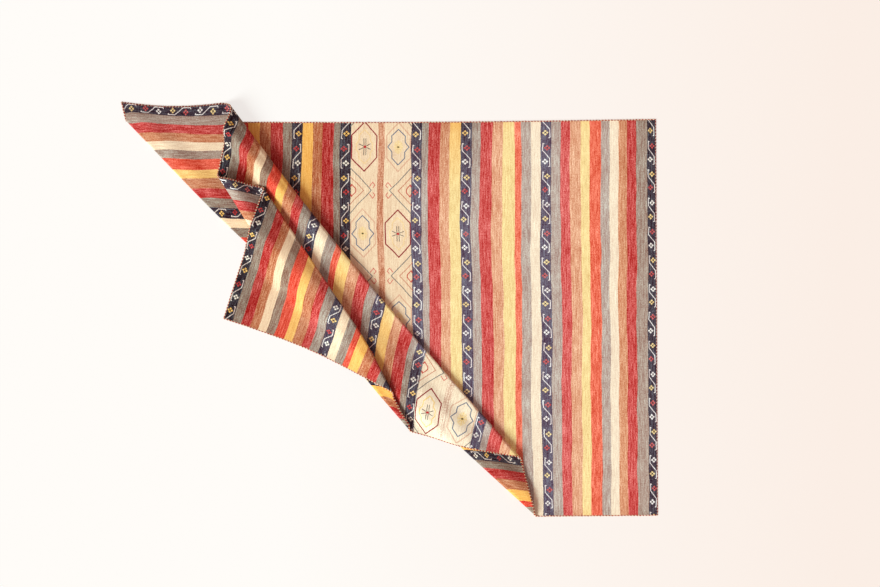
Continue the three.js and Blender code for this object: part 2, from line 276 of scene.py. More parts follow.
@dataclass(frozen=True)
class FoldedCloth:
    """The mid-surface of the folded rug, in millimetres.

    Rows run from the right end over the creases to the rug's lower left corner. A place along is a row,
    from the top side and left end (0) to the bottom side (1).
    """

    length: float = 2054.0
    width: float = 1472.0
    cad_thickness: float = 4.0
    pitch: float = 9.0
    creases: tuple[Crease, ...] = CREASES
    top_right: Pair = (998, 705)
    bottom_right: Pair = (1005, -775)
    top_left: Pair = (-1001, 770)
    bottom_left: Pair = (-617, -38)
    top_side_sag: float = 8.0
    edge_fall: float = 60.0
    top_fall_end: float = 75.0
    stack_fall: float = 60.0
    corner_reach: float = 0.12
    tip_dip: float = 14.0
    row_count: int = 190
    layer_columns: tuple[int, ...] = (56, 30, 44, 12, 52)
    roll_columns: int = 11
    corner_columns: int = 5
    length_passes: int = 3

    def height(self, layer: int, plan: np.ndarray) -> np.ndarray:
        """How high a layer's mid-surface is, as it rests on what lies under it.

        Args:
            layer: 0 for the flat main part, up to 4.
            plan: plan points.

        Returns:
            Heights over the floor.
        """
        floor = self.cad_thickness / 2
        if layer == 0:
            return np.full(plan.shape[:-1], floor)
        spots = [crease.distance(plan) for crease in self.creases]
        swells = [
            crease.swell(crease.side * away, along, self.pitch)
            for crease, (away, along) in zip(self.creases, spots)
        ]
        main, (third_away, third_along) = spots[0][0], spots[2]
        on_main = smooth(1 + (self.top_right[1] - plan[..., 1]) / self.edge_fall)
        if layer == 1:
            return floor + on_main * (self.pitch + swells[0])
        on_stack = smooth(1 + main / self.edge_fall)
        second = floor + on_stack * (self.pitch * (1 + on_main) + on_main * swells[0]) + swells[1]
        if layer == 2:
            return second
        third = second + self.pitch + swells[2]
        if layer == 3:
            return third
        over = self.creases[2]
        crown = eased(over.crowns, third_along)
        rise = 2 * eased(over.radii, third_along) + self.pitch + eased(over.lifts, third_along)
        under = smooth(1 + main / self.stack_fall) * (2 * self.pitch + swells[0])
        rise = rise + swells[1] + swells[3]
        low = floor + under + rise * smooth((third_away + self.top_fall_end) / (self.top_fall_end + crown))
        return np.where(third_away > crown, third + self.pitch + swells[3], low)

    def heading(self, index: int, along: np.ndarray) -> np.ndarray:
        """Which way the rows run over a crease on the flat cloth.

        Args:
            index: which crease.
            along: the rows.

        Returns:
            A unit vector for each row.
        """
        if index == 0:
            return np.tile([-1.0, 0.0], (len(along), 1))
        here = self.creases[index].flat(along)
        if index + 1 < len(self.creases):
            return unit(self.creases[index + 1].flat(along) - here)
        return unit(np.array([0.0, self.width]) - here)

    def roll(self, index: int, along: np.ndarray, angle: float) -> Rows:
        """Points of the rows on a crease's roll.

        Args:
            index: which crease.
            along: the rows.
            angle: from a quarter turn below the crest to a quarter turn above it, in radians.

        Returns:
            Their points on the flat cloth and in the plan.
        """
        crease = self.creases[index]
        heading = self.heading(index, along)
        cosine = heading @ unit(np.subtract(crease.end, crease.start))
        radius = eased(crease.radii, along)
        run = radius * angle / np.sqrt(1 - cosine**2)
        tangent = crease.tangent(along)
        outward = -turned(tangent) * crease.side
        flat = crease.flat(along) + heading * run[:, None]
        inset = radius * (1 - math.cos(angle))
        plan = crease.crest(along) - outward * inset[:, None] + tangent * (run * cosine)[:, None]
        return flat, plan

    def main_points(self, along: np.ndarray, end: Rows) -> Rows:
        """The flat main part's points, from the right end to the first roll.

        Args:
            along: the rows.
            end: flat and plan points where it meets the roll.

        Returns:
            Flat and plan points, as [row, column].
        """
        share = np.linspace(0, 1, self.layer_columns[0] + 1)[None, :, None]
        t = along[:, None]
        flat_start = np.concatenate([np.full_like(t, self.length), self.width * t], 1)
        plan_start = np.asarray(self.top_right) * (1 - t) + np.asarray(self.bottom_right) * t
        flat = flat_start[:, None] * (1 - share) + end[0][:, None] * share
        plan = plan_start[:, None] * (1 - share) + end[1][:, None] * share
        plan[..., 1] -= self.top_side_sag * np.sin(np.pi * share[..., 0]) * (1 - t)
        return flat, plan

    def tip_points(self, along: np.ndarray, start: Rows, end: Rows) -> Rows:
        """Layer 1's points: its first rows are drawn round the rug's top left corner.

        Args:
            along: the rows.
            start: flat and plan points where the layer leaves its first roll.
            end: flat and plan points where it meets the next roll.

        Returns:
            Flat and plan points, as [row, column].
        """
        corner = (np.zeros(2), np.asarray(self.top_left, float))
        first = np.linalg.norm(start[0][0] - corner[0])
        corner_share = first / (first + np.linalg.norm(end[0][0] - corner[0]))
        past = np.linspace(corner_share, 1, self.layer_columns[1] - self.corner_columns + 1)
        share = np.concatenate([np.linspace(0, corner_share, self.corner_columns + 1), past[1:]])[:, None]
        beyond = np.clip((share - corner_share) / (1 - corner_share), 0, 1)
        up_to = np.clip(share / corner_share, 0, 1)
        pull = (np.maximum(0, 1 - along / self.corner_reach) ** 2)[:, None, None]
        made = []
        for near, far, tip in zip(start, end, corner):
            first_part = near[0] + (tip - near[0]) * up_to
            bent = np.where(share < corner_share, first_part, tip + (far[0] - tip) * beyond)
            draw = bent - (near[0] + (far[0] - near[0]) * share)
            made.append(near[:, None] + (far - near)[:, None] * share[None] + pull * draw[None])
        made[1][..., 1] -= (self.tip_dip * np.sin(np.pi * beyond[:, 0]))[None] * pull[..., 0]
        return made[0], made[1]

    def sloped_points(self, layer: int, along: np.ndarray, start: Rows, end: Rows) -> Rows:
        """Points across layers 2 to 4, which keep their lengths where the cloth slopes.

        Args:
            layer: which layer.
            along: the rows.
            start: flat and plan points where the layer leaves its first roll.
            end: flat and plan points where it meets the next roll or the corner.

        Returns:
            Flat and plan points, as [row, column].
        """
        following = self.creases[min(layer, len(self.creases) - 1)].chord()
        parallel = unit(self.creases[layer - 1].chord() + following)
        square = turned(parallel)
        across = np.linspace(0, 1, self.layer_columns[layer] + 1)
        step = end[1] - start[1]
        reach_parallel, reach_square = (step @ parallel)[:, None], (step @ square)[:, None]
        slip = table_value(SLIPS.get(layer), along, across)
        draw = table_value(DRAWS.get(layer), along, across)
        level = reach_square * across - np.sign(reach_square) * draw
        lengths = np.tile(across, (len(along), 1))
        plan = start[1][:, None] + step[:, None] * across[None, :, None]
        for _ in range(self.length_passes):
            rise = np.diff(self.height(layer, plan), axis=1)
            pieces = np.hypot(reach_square * np.diff(across), rise)
            lengths = np.concatenate([np.zeros((len(along), 1)), np.cumsum(pieces, axis=1)], 1)
            lengths /= lengths[:, -1:]
            sideways = reach_parallel * lengths + slip
            plan = start[1][:, None] + square * level[..., None] + parallel * sideways[..., None]
        flat = start[0][:, None] + (end[0] - start[0])[:, None] * lengths[..., None]
        return flat, plan

    def surface(self) -> Rows:
        """The whole folded mid-surface.

        Returns:
            Its points and their places on the flat cloth, both as [row, column].
        """
        along = np.linspace(0, 1, self.row_count + 1)
        quarter = math.pi / 2
        count = len(self.creases)
        corner = (
            np.tile([0.0, self.width], (len(along), 1)),
            np.tile(np.asarray(self.bottom_left, float), (len(along), 1)),
        )
        flats, points = [], []
        for layer in range(count + 1):
            end = self.roll(layer, along, -quarter) if layer < count else corner
            start = self.roll(layer - 1, along, quarter) if layer else None
            if layer == 0:
                flat, plan = self.main_points(along, end)
            elif layer == 1:
                flat, plan = self.tip_points(along, start, end)
            else:
                flat, plan = self.sloped_points(layer, along, start, end)
            flats.append(flat)
            points.append(np.concatenate([plan, self.height(layer, plan)[..., None]], -1))
            if layer == count:
                continue
            lower = self.height(layer, end[1])
            upper = self.height(layer + 1, self.roll(layer, along, quarter)[1])
            for share in np.linspace(-1, 1, self.roll_columns + 1)[1:-1]:
                angle = share * quarter
                flat, plan = self.roll(layer, along, angle)
                rise = (lower + upper) / 2 + (upper - lower) / 2 * math.sin(angle)
                flats.append(flat[:, None])
                points.append(np.concatenate([plan, rise[:, None]], -1)[:, None])
        return np.concatenate(points, 1), np.concatenate(flats, 1)

    @staticmethod
    def normals(points: np.ndarray) -> np.ndarray:
        """Unit normals out of the rug's face.

        Args:
            points: the mid-surface's points, as [row, column].

        Returns:
            A normal for each point.
        """
        left = np.gradient(points, axis=1)
        down = np.gradient(points, axis=0)
        normals = unit(np.cross(left, down))
        normals[:, -1] = unit(normals[:, -2].mean(axis=0))
        return normals


# ---- nodes ----


class Signal:
    """A number in a node tree, which can be added, scaled and compared."""

    def __init__(self, book: "NodeBook", socket: Socket) -> None:
        """Wraps a socket that gives a number.

        Args:
            book: the tree's nodes.
            socket: the output that gives the number.
        """
        self.book = book
        self.socket = socket

    def math(self, operation: str, *others: "Signal | float", clamp: bool = False) -> "Signal":
        """A Math node with this number first.

        Args:
            operation: the node's operation.
            others: its other numbers.
            clamp: whether the result is kept from 0 to 1.

        Returns:
            The result.
        """
        return self.book.math(operation, self, *others, clamp=clamp)

    def __add__(self, other: "Signal | float") -> "Signal":
        """The sum."""
        return self.math("ADD", other)

    __radd__ = __add__

    def __sub__(self, other: "Signal | float") -> "Signal":
        """The difference."""
        return self.math("SUBTRACT", other)

    def __rsub__(self, other: float) -> "Signal":
        """A number less this one."""
        return self.book.math("SUBTRACT", other, self)

    def __mul__(self, other: "Signal | float") -> "Signal":
        """The product."""
        return self.math("MULTIPLY", other)

    __rmul__ = __mul__

    def __truediv__(self, other: "Signal | float") -> "Signal":
        """The quotient."""
        return self.math("DIVIDE", other)

    def __abs__(self) -> "Signal":
        """The size without its sign."""
        return self.math("ABSOLUTE")

    def __lt__(self, other: "Signal | float") -> "Signal":
        """1 where this is less, else 0."""
        return self.math("LESS_THAN", other)

    def __gt__(self, other: "Signal | float") -> "Signal":
        """1 where this is more, else 0."""
        return self.math("GREATER_THAN", other)

    def least(self, other: "Signal | float") -> "Signal":
        """The smaller of two."""
        return self.math("MINIMUM", other)

    def rounded(self) -> "Signal":
        """The nearest whole number."""
        return self.math("ROUND")

    def over(self, count: "Signal | float") -> "Signal":
        """What is left after whole counts are taken away, never negative."""
        return self.math("FLOORED_MODULO", count)

    def held(self) -> "Signal":
        """The number, kept from 0 to 1."""
        return self.math("ADD", 0.0, clamp=True)


class NodeBook:
    """The nodes of one tree."""

    def __init__(self, tree: bpy.types.NodeTree) -> None:
        """Takes the tree.

        Args:
            tree: where the nodes go.
        """
        self.tree = tree

    def node(
        self,
        kind: str,
        settings: Mapping[str, Any] | None = None,
        inputs: Mapping[int | str, Any] | None = None,
    ) -> bpy.types.Node:
        """Adds one node.

        Args:
            kind: the node's type.
            settings: its properties; stops is a colour ramp's list of (place, colour).
            inputs: values, signals or sockets for its inputs, by name or number.

        Returns:
            The node.
        """
        made = self.tree.nodes.new(kind)
        for key, value in (settings or {}).items():
            if key == "stops":
                self._set_stops(made.color_ramp, value)
            else:
                setattr(made, key, value)
        for key, value in (inputs or {}).items():
            source = value.socket if isinstance(value, Signal) else value
            if isinstance(source, bpy.types.NodeSocket):
                self.tree.links.new(source, made.inputs[key])
            else:
                made.inputs[key].default_value = source
        return made

    @staticmethod
    def _set_stops(ramp: bpy.types.ColorRamp, stops: Sequence[tuple[float, Sequence[float]]]) -> None:
        """Gives a colour ramp its stops, with no fade between them.

        Args:
            ramp: the colour ramp.
            stops: each stop's place and colour.
        """
        ramp.interpolation = "CONSTANT"
        while len(ramp.elements) > 1:
            ramp.elements.remove(ramp.elements[-1])
        for index, (place, colour) in enumerate(stops):
            stop = ramp.elements[0] if index == 0 else ramp.elements.new(place)
            stop.position = place
            stop.color = colour

    def math(self, operation: str, *numbers: Signal | float, clamp: bool = False) -> Signal:
        """A Math node on numbers, as a signal."""
        settings = {"operation": operation, "use_clamp": clamp}
        return Signal(self, self.node("ShaderNodeMath", settings, dict(enumerate(numbers))).outputs[0])

    def parts(self, vector: Socket) -> tuple[Signal, Signal]:
        """The first two numbers of a vector."""
        split = self.node("ShaderNodeSeparateXYZ", inputs={0: vector})
        return Signal(self, split.outputs[0]), Signal(self, split.outputs[1])


class ShaderBook(NodeBook):
    """The nodes of one material, or of the world."""

    wool_roughness: ClassVar[float] = 0.95
    wool_shine: ClassVar[float] = 0.15

    def __init__(self, owner: bpy.types.Material | bpy.types.World) -> None:
        """Starts with no nodes.

        Args:
            owner: the new material or world.
        """
        self.owner = owner
        owner.use_nodes = True
        super().__init__(owner.node_tree)
        self.tree.nodes.clear()

    def vector(self, operation: str, *values: Any, scale: Signal | None = None) -> Socket:
        """A Vector Math node.

        Args:
            operation: the node's operation.
            values: its vectors.
            scale: its scale, for the operation SCALE.

        Returns:
            Its vector output.
        """
        inputs: dict[int | str, Any] = dict(enumerate(values))
        if scale is not None:
            inputs["Scale"] = scale
        return self.node("ShaderNodeVectorMath", {"operation": operation}, inputs).outputs["Vector"]

    def measure(self, operation: str, *values: Any) -> Signal:
        """A Vector Math node that gives a number, such as LENGTH or DOT_PRODUCT."""
        made = self.node("ShaderNodeVectorMath", {"operation": operation}, dict(enumerate(values)))
        return Signal(self, made.outputs["Value"])

    def point(self, x: Signal, y: Signal) -> Socket:
        """A vector of two numbers."""
        return self.node("ShaderNodeCombineXYZ", inputs={"X": x, "Y": y}).outputs[0]

    def share(self, value: Signal, start: float, end: float) -> Signal:
        """How far a number is from a start, 0, to an end, 1."""
        return ((value - start) / (end - start)).held()

    def blend(self, share: Signal, low: Socket | Colour, high: Socket | Colour) -> Socket:
        """Mixes two colours.

        Args:
            share: how much of the second.
            low: the first colour or socket.
            high: the second colour or socket.

        Returns:
            The mixed colour.
        """
        settings = {"data_type": "RGBA", "blend_type": "MIX"}
        return self.node("ShaderNodeMix", settings, {0: share, 6: low, 7: high}).outputs[2]

    def noise(self, place: Socket, detail: float) -> bpy.types.Node:
        """A flat noise texture of scale 1."""
        inputs = {"Vector": place, "Scale": 1.0, "Detail": detail, "Roughness": 0.5}
        return self.node("ShaderNodeTexNoise", {"noise_dimensions": "2D"}, inputs)

    def wool(self, colour: Socket, height: Signal, depth: float, strength: float) -> bpy.types.Node:
        """A dull wool shader.

        Args:
            colour: its colour.
            height: its fine relief, from about 0 to 1.
            depth: how deep that relief is, in metres.
            strength: how much of it shows.

        Returns:
            The shader's node.
        """
        bump = self.node("ShaderNodeBump", inputs={"Height": height, "Distance": depth, "Strength": strength})
        inputs = {
            "Base Color": colour,
            "Roughness": self.wool_roughness,
            "Normal": bump.outputs[0],
            "Specular IOR Level": self.wool_shine,
        }
        return self.node("ShaderNodeBsdfPrincipled", inputs=inputs)

    def finish(self, shader: bpy.types.Node) -> bpy.types.Material | bpy.types.World:
        """Joins a shader to the output.

        Args:
            shader: the last shader's node.

        Returns:
            The material or world.
        """
        outlet = "World" if isinstance(self.owner, bpy.types.World) else "Material"
        self.node(f"ShaderNodeOutput{outlet}", inputs={"Surface": shader.outputs[0]})
        return self.owner


def linear(red: int, green: int, blue: int) -> Colour:
    """A colour for a node.

    Args:
        red: its display value, from 0 to 255.
        green: likewise.
        blue: likewise.

    Returns:
        The linear colour.
    """

    def level(value: int) -> float:
        """One channel made linear."""
        share = value / 255
        return share / 12.92 if share <= 0.04045 else ((share + 0.055) / 1.055) ** 2.4

    return level(red), level(green), level(blue), 1.0


# ---- the woven pattern ----


class Yarn(Enum):
    """The dyed yarns, as display colours of 0 to 255, and how streaky each is.

    The yarns of the rug's first half, whose names start with DEEP, took up more dye.
    """

    NAVY = (76, 64, 75, 0.042)
    BAND = (106, 94, 111, 0.042)
    SLATE = (184, 160, 145, 0.038)
    GRAY = (194, 175, 162, 0.038)
    RED = (215, 90, 85, 0.05)
    ROSE = (222, 101, 96, 0.05)
    BROWN = (235, 174, 137, 0.042)
    TAN = (227, 160, 121, 0.042)
    CREAM = (253, 234, 205, 0.021)
    ORANGE = (243, 116, 89, 0.044)
    CORAL = (248, 128, 101, 0.044)
    YELLOW = (253, 225, 157, 0.025)
    FIELD = (247, 219, 182, 0.02)
    MIDDLE = (213, 149, 115, 0.052)
    DEEP_NAVY = (55, 45, 51, 0.046)
    DEEP_BAND = (66, 54, 62, 0.046)
    DEEP_GRAY = (149, 128, 111, 0.042)
    DEEP_TAUPE = (150, 118, 97, 0.042)
    DEEP_RED = (184, 60, 54, 0.055)
    DEEP_ROSE = (190, 63, 57, 0.055)
    DEEP_BROWN = (192, 118, 81, 0.046)
    DEEP_CREAM = (245, 212, 172, 0.021)
    DEEP_ORANGE = (222, 78, 58, 0.04)
    DEEP_YELLOW = (249, 186, 95, 0.021)

    def stop(self) -> Colour:
        """The yarn as a ramp's stop, its streakiness in the last channel."""
        red, green, blue, streaks = self.value
        return (*linear(red, green, blue)[:3], streaks)


@dataclass(frozen=True)
class Stripe:
    """One stripe of each half of the rug: its yarns in the two halves and its width in millimetres."""

    first: Yarn
    second: Yarn
    width: float


STRIPES = (
    Stripe(Yarn.DEEP_NAVY, Yarn.NAVY, 37.0),
    Stripe(Yarn.DEEP_GRAY, Yarn.SLATE, 38.8),
    Stripe(Yarn.DEEP_RED, Yarn.RED, 33.2),
    Stripe(Yarn.DEEP_BROWN, Yarn.TAN, 35.5),
    Stripe(Yarn.DEEP_CREAM, Yarn.CREAM, 28.8),
    Stripe(Yarn.DEEP_TAUPE, Yarn.GRAY, 32.1),
    Stripe(Yarn.DEEP_ORANGE, Yarn.ORANGE, 40.6),
    Stripe(Yarn.DEEP_YELLOW, Yarn.YELLOW, 34.4),
    Stripe(Yarn.DEEP_BROWN, Yarn.BROWN, 41.4),
    Stripe(Yarn.DEEP_ROSE, Yarn.ROSE, 35.8),
    Stripe(Yarn.DEEP_GRAY, Yarn.GRAY, 34.0),
    Stripe(Yarn.DEEP_BAND, Yarn.BAND, 40.6),
    Stripe(Yarn.DEEP_CREAM, Yarn.CREAM, 35.5),
    Stripe(Yarn.DEEP_GRAY, Yarn.GRAY, 37.3),
    Stripe(Yarn.DEEP_ORANGE, Yarn.CORAL, 24.0),
    Stripe(Yarn.DEEP_YELLOW, Yarn.YELLOW, 45.8),
    Stripe(Yarn.DEEP_BROWN, Yarn.BROWN, 40.6),
    Stripe(Yarn.DEEP_RED, Yarn.RED, 42.1),
    Stripe(Yarn.DEEP_GRAY, Yarn.GRAY, 34.7),
    Stripe(Yarn.DEEP_BAND, Yarn.BAND, 39.5),
    Stripe(Yarn.DEEP_YELLOW, Yarn.YELLOW, 41.4),
    Stripe(Yarn.DEEP_BROWN, Yarn.BROWN, 35.8),
    Stripe(Yarn.DEEP_RED, Yarn.RED, 42.1),
    Stripe(Yarn.DEEP_GRAY, Yarn.GRAY, 25.9),
    Stripe(Yarn.DEEP_BAND, Yarn.BAND, 38.0),
    Stripe(Yarn.FIELD, Yarn.FIELD, 102.8),
    Stripe(Yarn.MIDDLE, Yarn.MIDDLE, 13.2),
)


@dataclass(frozen=True)
class Stroke:
    """A straight line of a motif, from one point to another, in millimetres."""

    start: Pair
    end: Pair
    width: float


def lines(width: float, *points: Pair) -> tuple[Stroke, ...]:
    """Strokes of one width, from each point to the next."""
    return tuple(Stroke(start, end, width) for start, end in zip(points, points[1:]))


@dataclass(frozen=True)
class BandMotif:
    """The border of hooked lines and small four-petalled flowers on the navy bands.

    Across the band, distances are from its middle towards the rug's middle, which is taken a little
    inwards on the first band. Along it they are from an even flower, and the odd ones lie half a unit on.
    Flowers and thread have a dye for the rug's first half and a paler one.
    """

    first_band_inwards: float = 2.0
    half_unit: float = 53.2
    first_flower: float = 45.0
    left_half_unit: float = 51.9
    left_first_flower: float = 37.5
    even_flower: float = 5.5
    odd_flower: float = -1.8
    odd_lag: float = 2.5
    petal_reach: float = 6.1
    petal_size: float = 4.5
    petal_breadth: float = 1.13
    heart_size: float = 2.9
    wrap_before: float = 76.0
    hook: tuple[Stroke, ...] = (
        lines(3.2, (10.5, -66.0), (14.6, -67.5), (14.9, -41.0))
        + lines(2.8, (14.9, -41.0), (-11.6, -11.5))
        + lines(3.2, (-11.6, -11.5), (-11.9, 17.5), (-7.6, 18.8))
    )
    thread: tuple[Dye, Dye] = ((226, 209, 196), (250, 243, 238))
    yellow: tuple[Dye, Dye] = ((244, 192, 104), (252, 226, 162))
    red: tuple[Dye, Dye] = ((190, 62, 60), (214, 102, 100))
    white: tuple[Dye, Dye] = ((240, 226, 206), (255, 250, 244))
    heart: Dye = (76, 50, 46)


class Figure(Enum):
    """The figures of the cream columns."""

    STAR = "every other medallion, from the first"
    QUATREFOIL = "the medallions between those"
    DIAMOND = "the half diamonds between medallions"


@dataclass(frozen=True)
class Mark:
    """One dyed mark of a figure: strokes, or an ellipse of two half-widths, in millimetres."""

    figure: Figure
    dye: Dye
    strokes: tuple[Stroke, ...] = ()
    ellipse: Pair = (0.0, 0.0)
    strength: float = 1.0
    clearer_below: bool = False


HEXAGON = lines(4.4, (46, 0), (46, 40.9), (0, 90.5))


@dataclass(frozen=True)
class FieldMotif:
    """The medallions and the half diamonds between them in the two cream columns, in millimetres.

    Medallion marks are measured from its middle in one quarter, which is mirrored both ways. Half
    diamonds are measured from the column's outer side, and are mirrored up and down. The marks that are
    clearer below have their least share of dye down to where clear starts, and then more. The ground is
    paler towards the bottom side, partly paler yarn and partly painted light where the folded cloth there
    faces the sun.
    """

    first_medallion: float = 91.5
    spacing: float = 322.2
    clear: Pair = (700, 1100)
    least_clear: float = 0.45
    more_clear: float = 0.4
    # Where the ground pales, partly as painted light, how much, and to what colour.
    paling_and_light: Pair = (1000, 1400)
    paling_and_light_share: float = 0.7
    paling_and_light_dye: Dye = (255, 242, 214)
    marks: tuple[Mark, ...] = (
        Mark(Figure.STAR, (152, 38, 46), HEXAGON),
        Mark(
            Figure.STAR,
            (251, 210, 122),
            lines(4, (0, 62), (20, 41), (21, 22), (30, 10), (30, 0)),
            clearer_below=True,
        ),
        Mark(
            Figure.STAR,
            (92, 84, 78),
            lines(2.6, (3.9, 6), (3.9, 29)) + lines(2.6, (6, 3), (21, 9.5)),
        ),
        Mark(Figure.STAR, (196, 62, 60), ellipse=(5.8, 4.8)),
        Mark(Figure.QUATREFOIL, (216, 152, 122), HEXAGON, strength=0.6),
        Mark(Figure.QUATREFOIL, (253, 222, 142), ellipse=(18.0, 26.0), strength=0.4),
        Mark(
            Figure.QUATREFOIL,
            (250, 208, 112),
            lines(2.4, (17, 0), (0, 0), (0, 25)) + lines(2.4, (0, 0), (11.5, 15)),
            clearer_below=True,
        ),
        Mark(
            Figure.QUATREFOIL,
            (102, 114, 136),
            lines(3.4, (0, 66), (25.5, 42), (25.5, 19.5), (41.5, 0)),
        ),
        Mark(Figure.QUATREFOIL, (110, 96, 60), ellipse=(4.7, 3.2)),
        Mark(Figure.DIAMOND, (122, 120, 116), lines(3.0, (80.6, 0), (0, 87.4))),
        Mark(Figure.DIAMOND, (208, 134, 104), lines(3.2, (50.5, 0), (0, 54.0)), strength=0.9),
        Mark(
            Figure.DIAMOND,
            (204, 78, 66),
            lines(3.4, (22, 0), (20.5, 7), (7, 22)) + lines(4.4, (7, 22), (3.5, 15)),
        ),
        Mark(
            Figure.DIAMOND,
            (218, 108, 94),
            lines(3.2, (74, 14.5), (86.5, 29.5), (95, 18), (88, 9)),
            strength=0.9,
        ),
    )


@dataclass(frozen=True)
class Patch:
    """A part of the flat cloth whose colours are paler or deeper than the rest, by amount where it is full;
    some are painted light or shade.

    Each pair says where it starts and where it is full, in millimetres: along the rug, across it, and over
    a line that climbs across by slope for each millimetre along, below whose limit nothing shows.
    """

    amount: float
    along: Pair | None = None
    across: Pair | None = None
    over: Pair | None = None
    slope: float = 0.0
    limit: float | None = None
    spared: "Patch | None" = None

    def signal(self, book: ShaderBook, u: Signal, v: Signal) -> Signal:
        """How much of the patch shows.

        Args:
            book: the shader's nodes.
            u: place along the flat rug.
            v: place across the flat rug.

        Returns:
            A number from 0 to the patch's amount.
        """
        line = v - u * self.slope
        ranges = ((line, self.over), (u, self.along), (v, self.across))
        shares = [book.share(value, *pair) for value, pair in ranges if pair]
        if self.limit is not None:
            shares.append(line > self.limit)
        if self.spared:
            shares.append(1 - self.spared.signal(book, u, v))
        return math.prod(shares) * self.amount


@dataclass(frozen=True)
class Grain:
    """An unevenness of the wool: its grains in a millimetre along and across, and its weight."""

    along: float
    across: float
    weight: float
    detail: float = 1.0
    shift: Pair = (0.0, 0.0)

    def signal(self, book: ShaderBook, u: Signal, v: Signal) -> Signal:
        """How uneven the wool is.

        Args:
            book: the shader's nodes.
            u: place along the flat rug.
            v: place across the flat rug.

        Returns:
            A number about 0.
        """
        place = book.point(u * self.along + self.shift[0], v * self.across + self.shift[1])
        return (Signal(book, book.noise(place, self.detail).outputs[0]) - 0.5) * self.weight


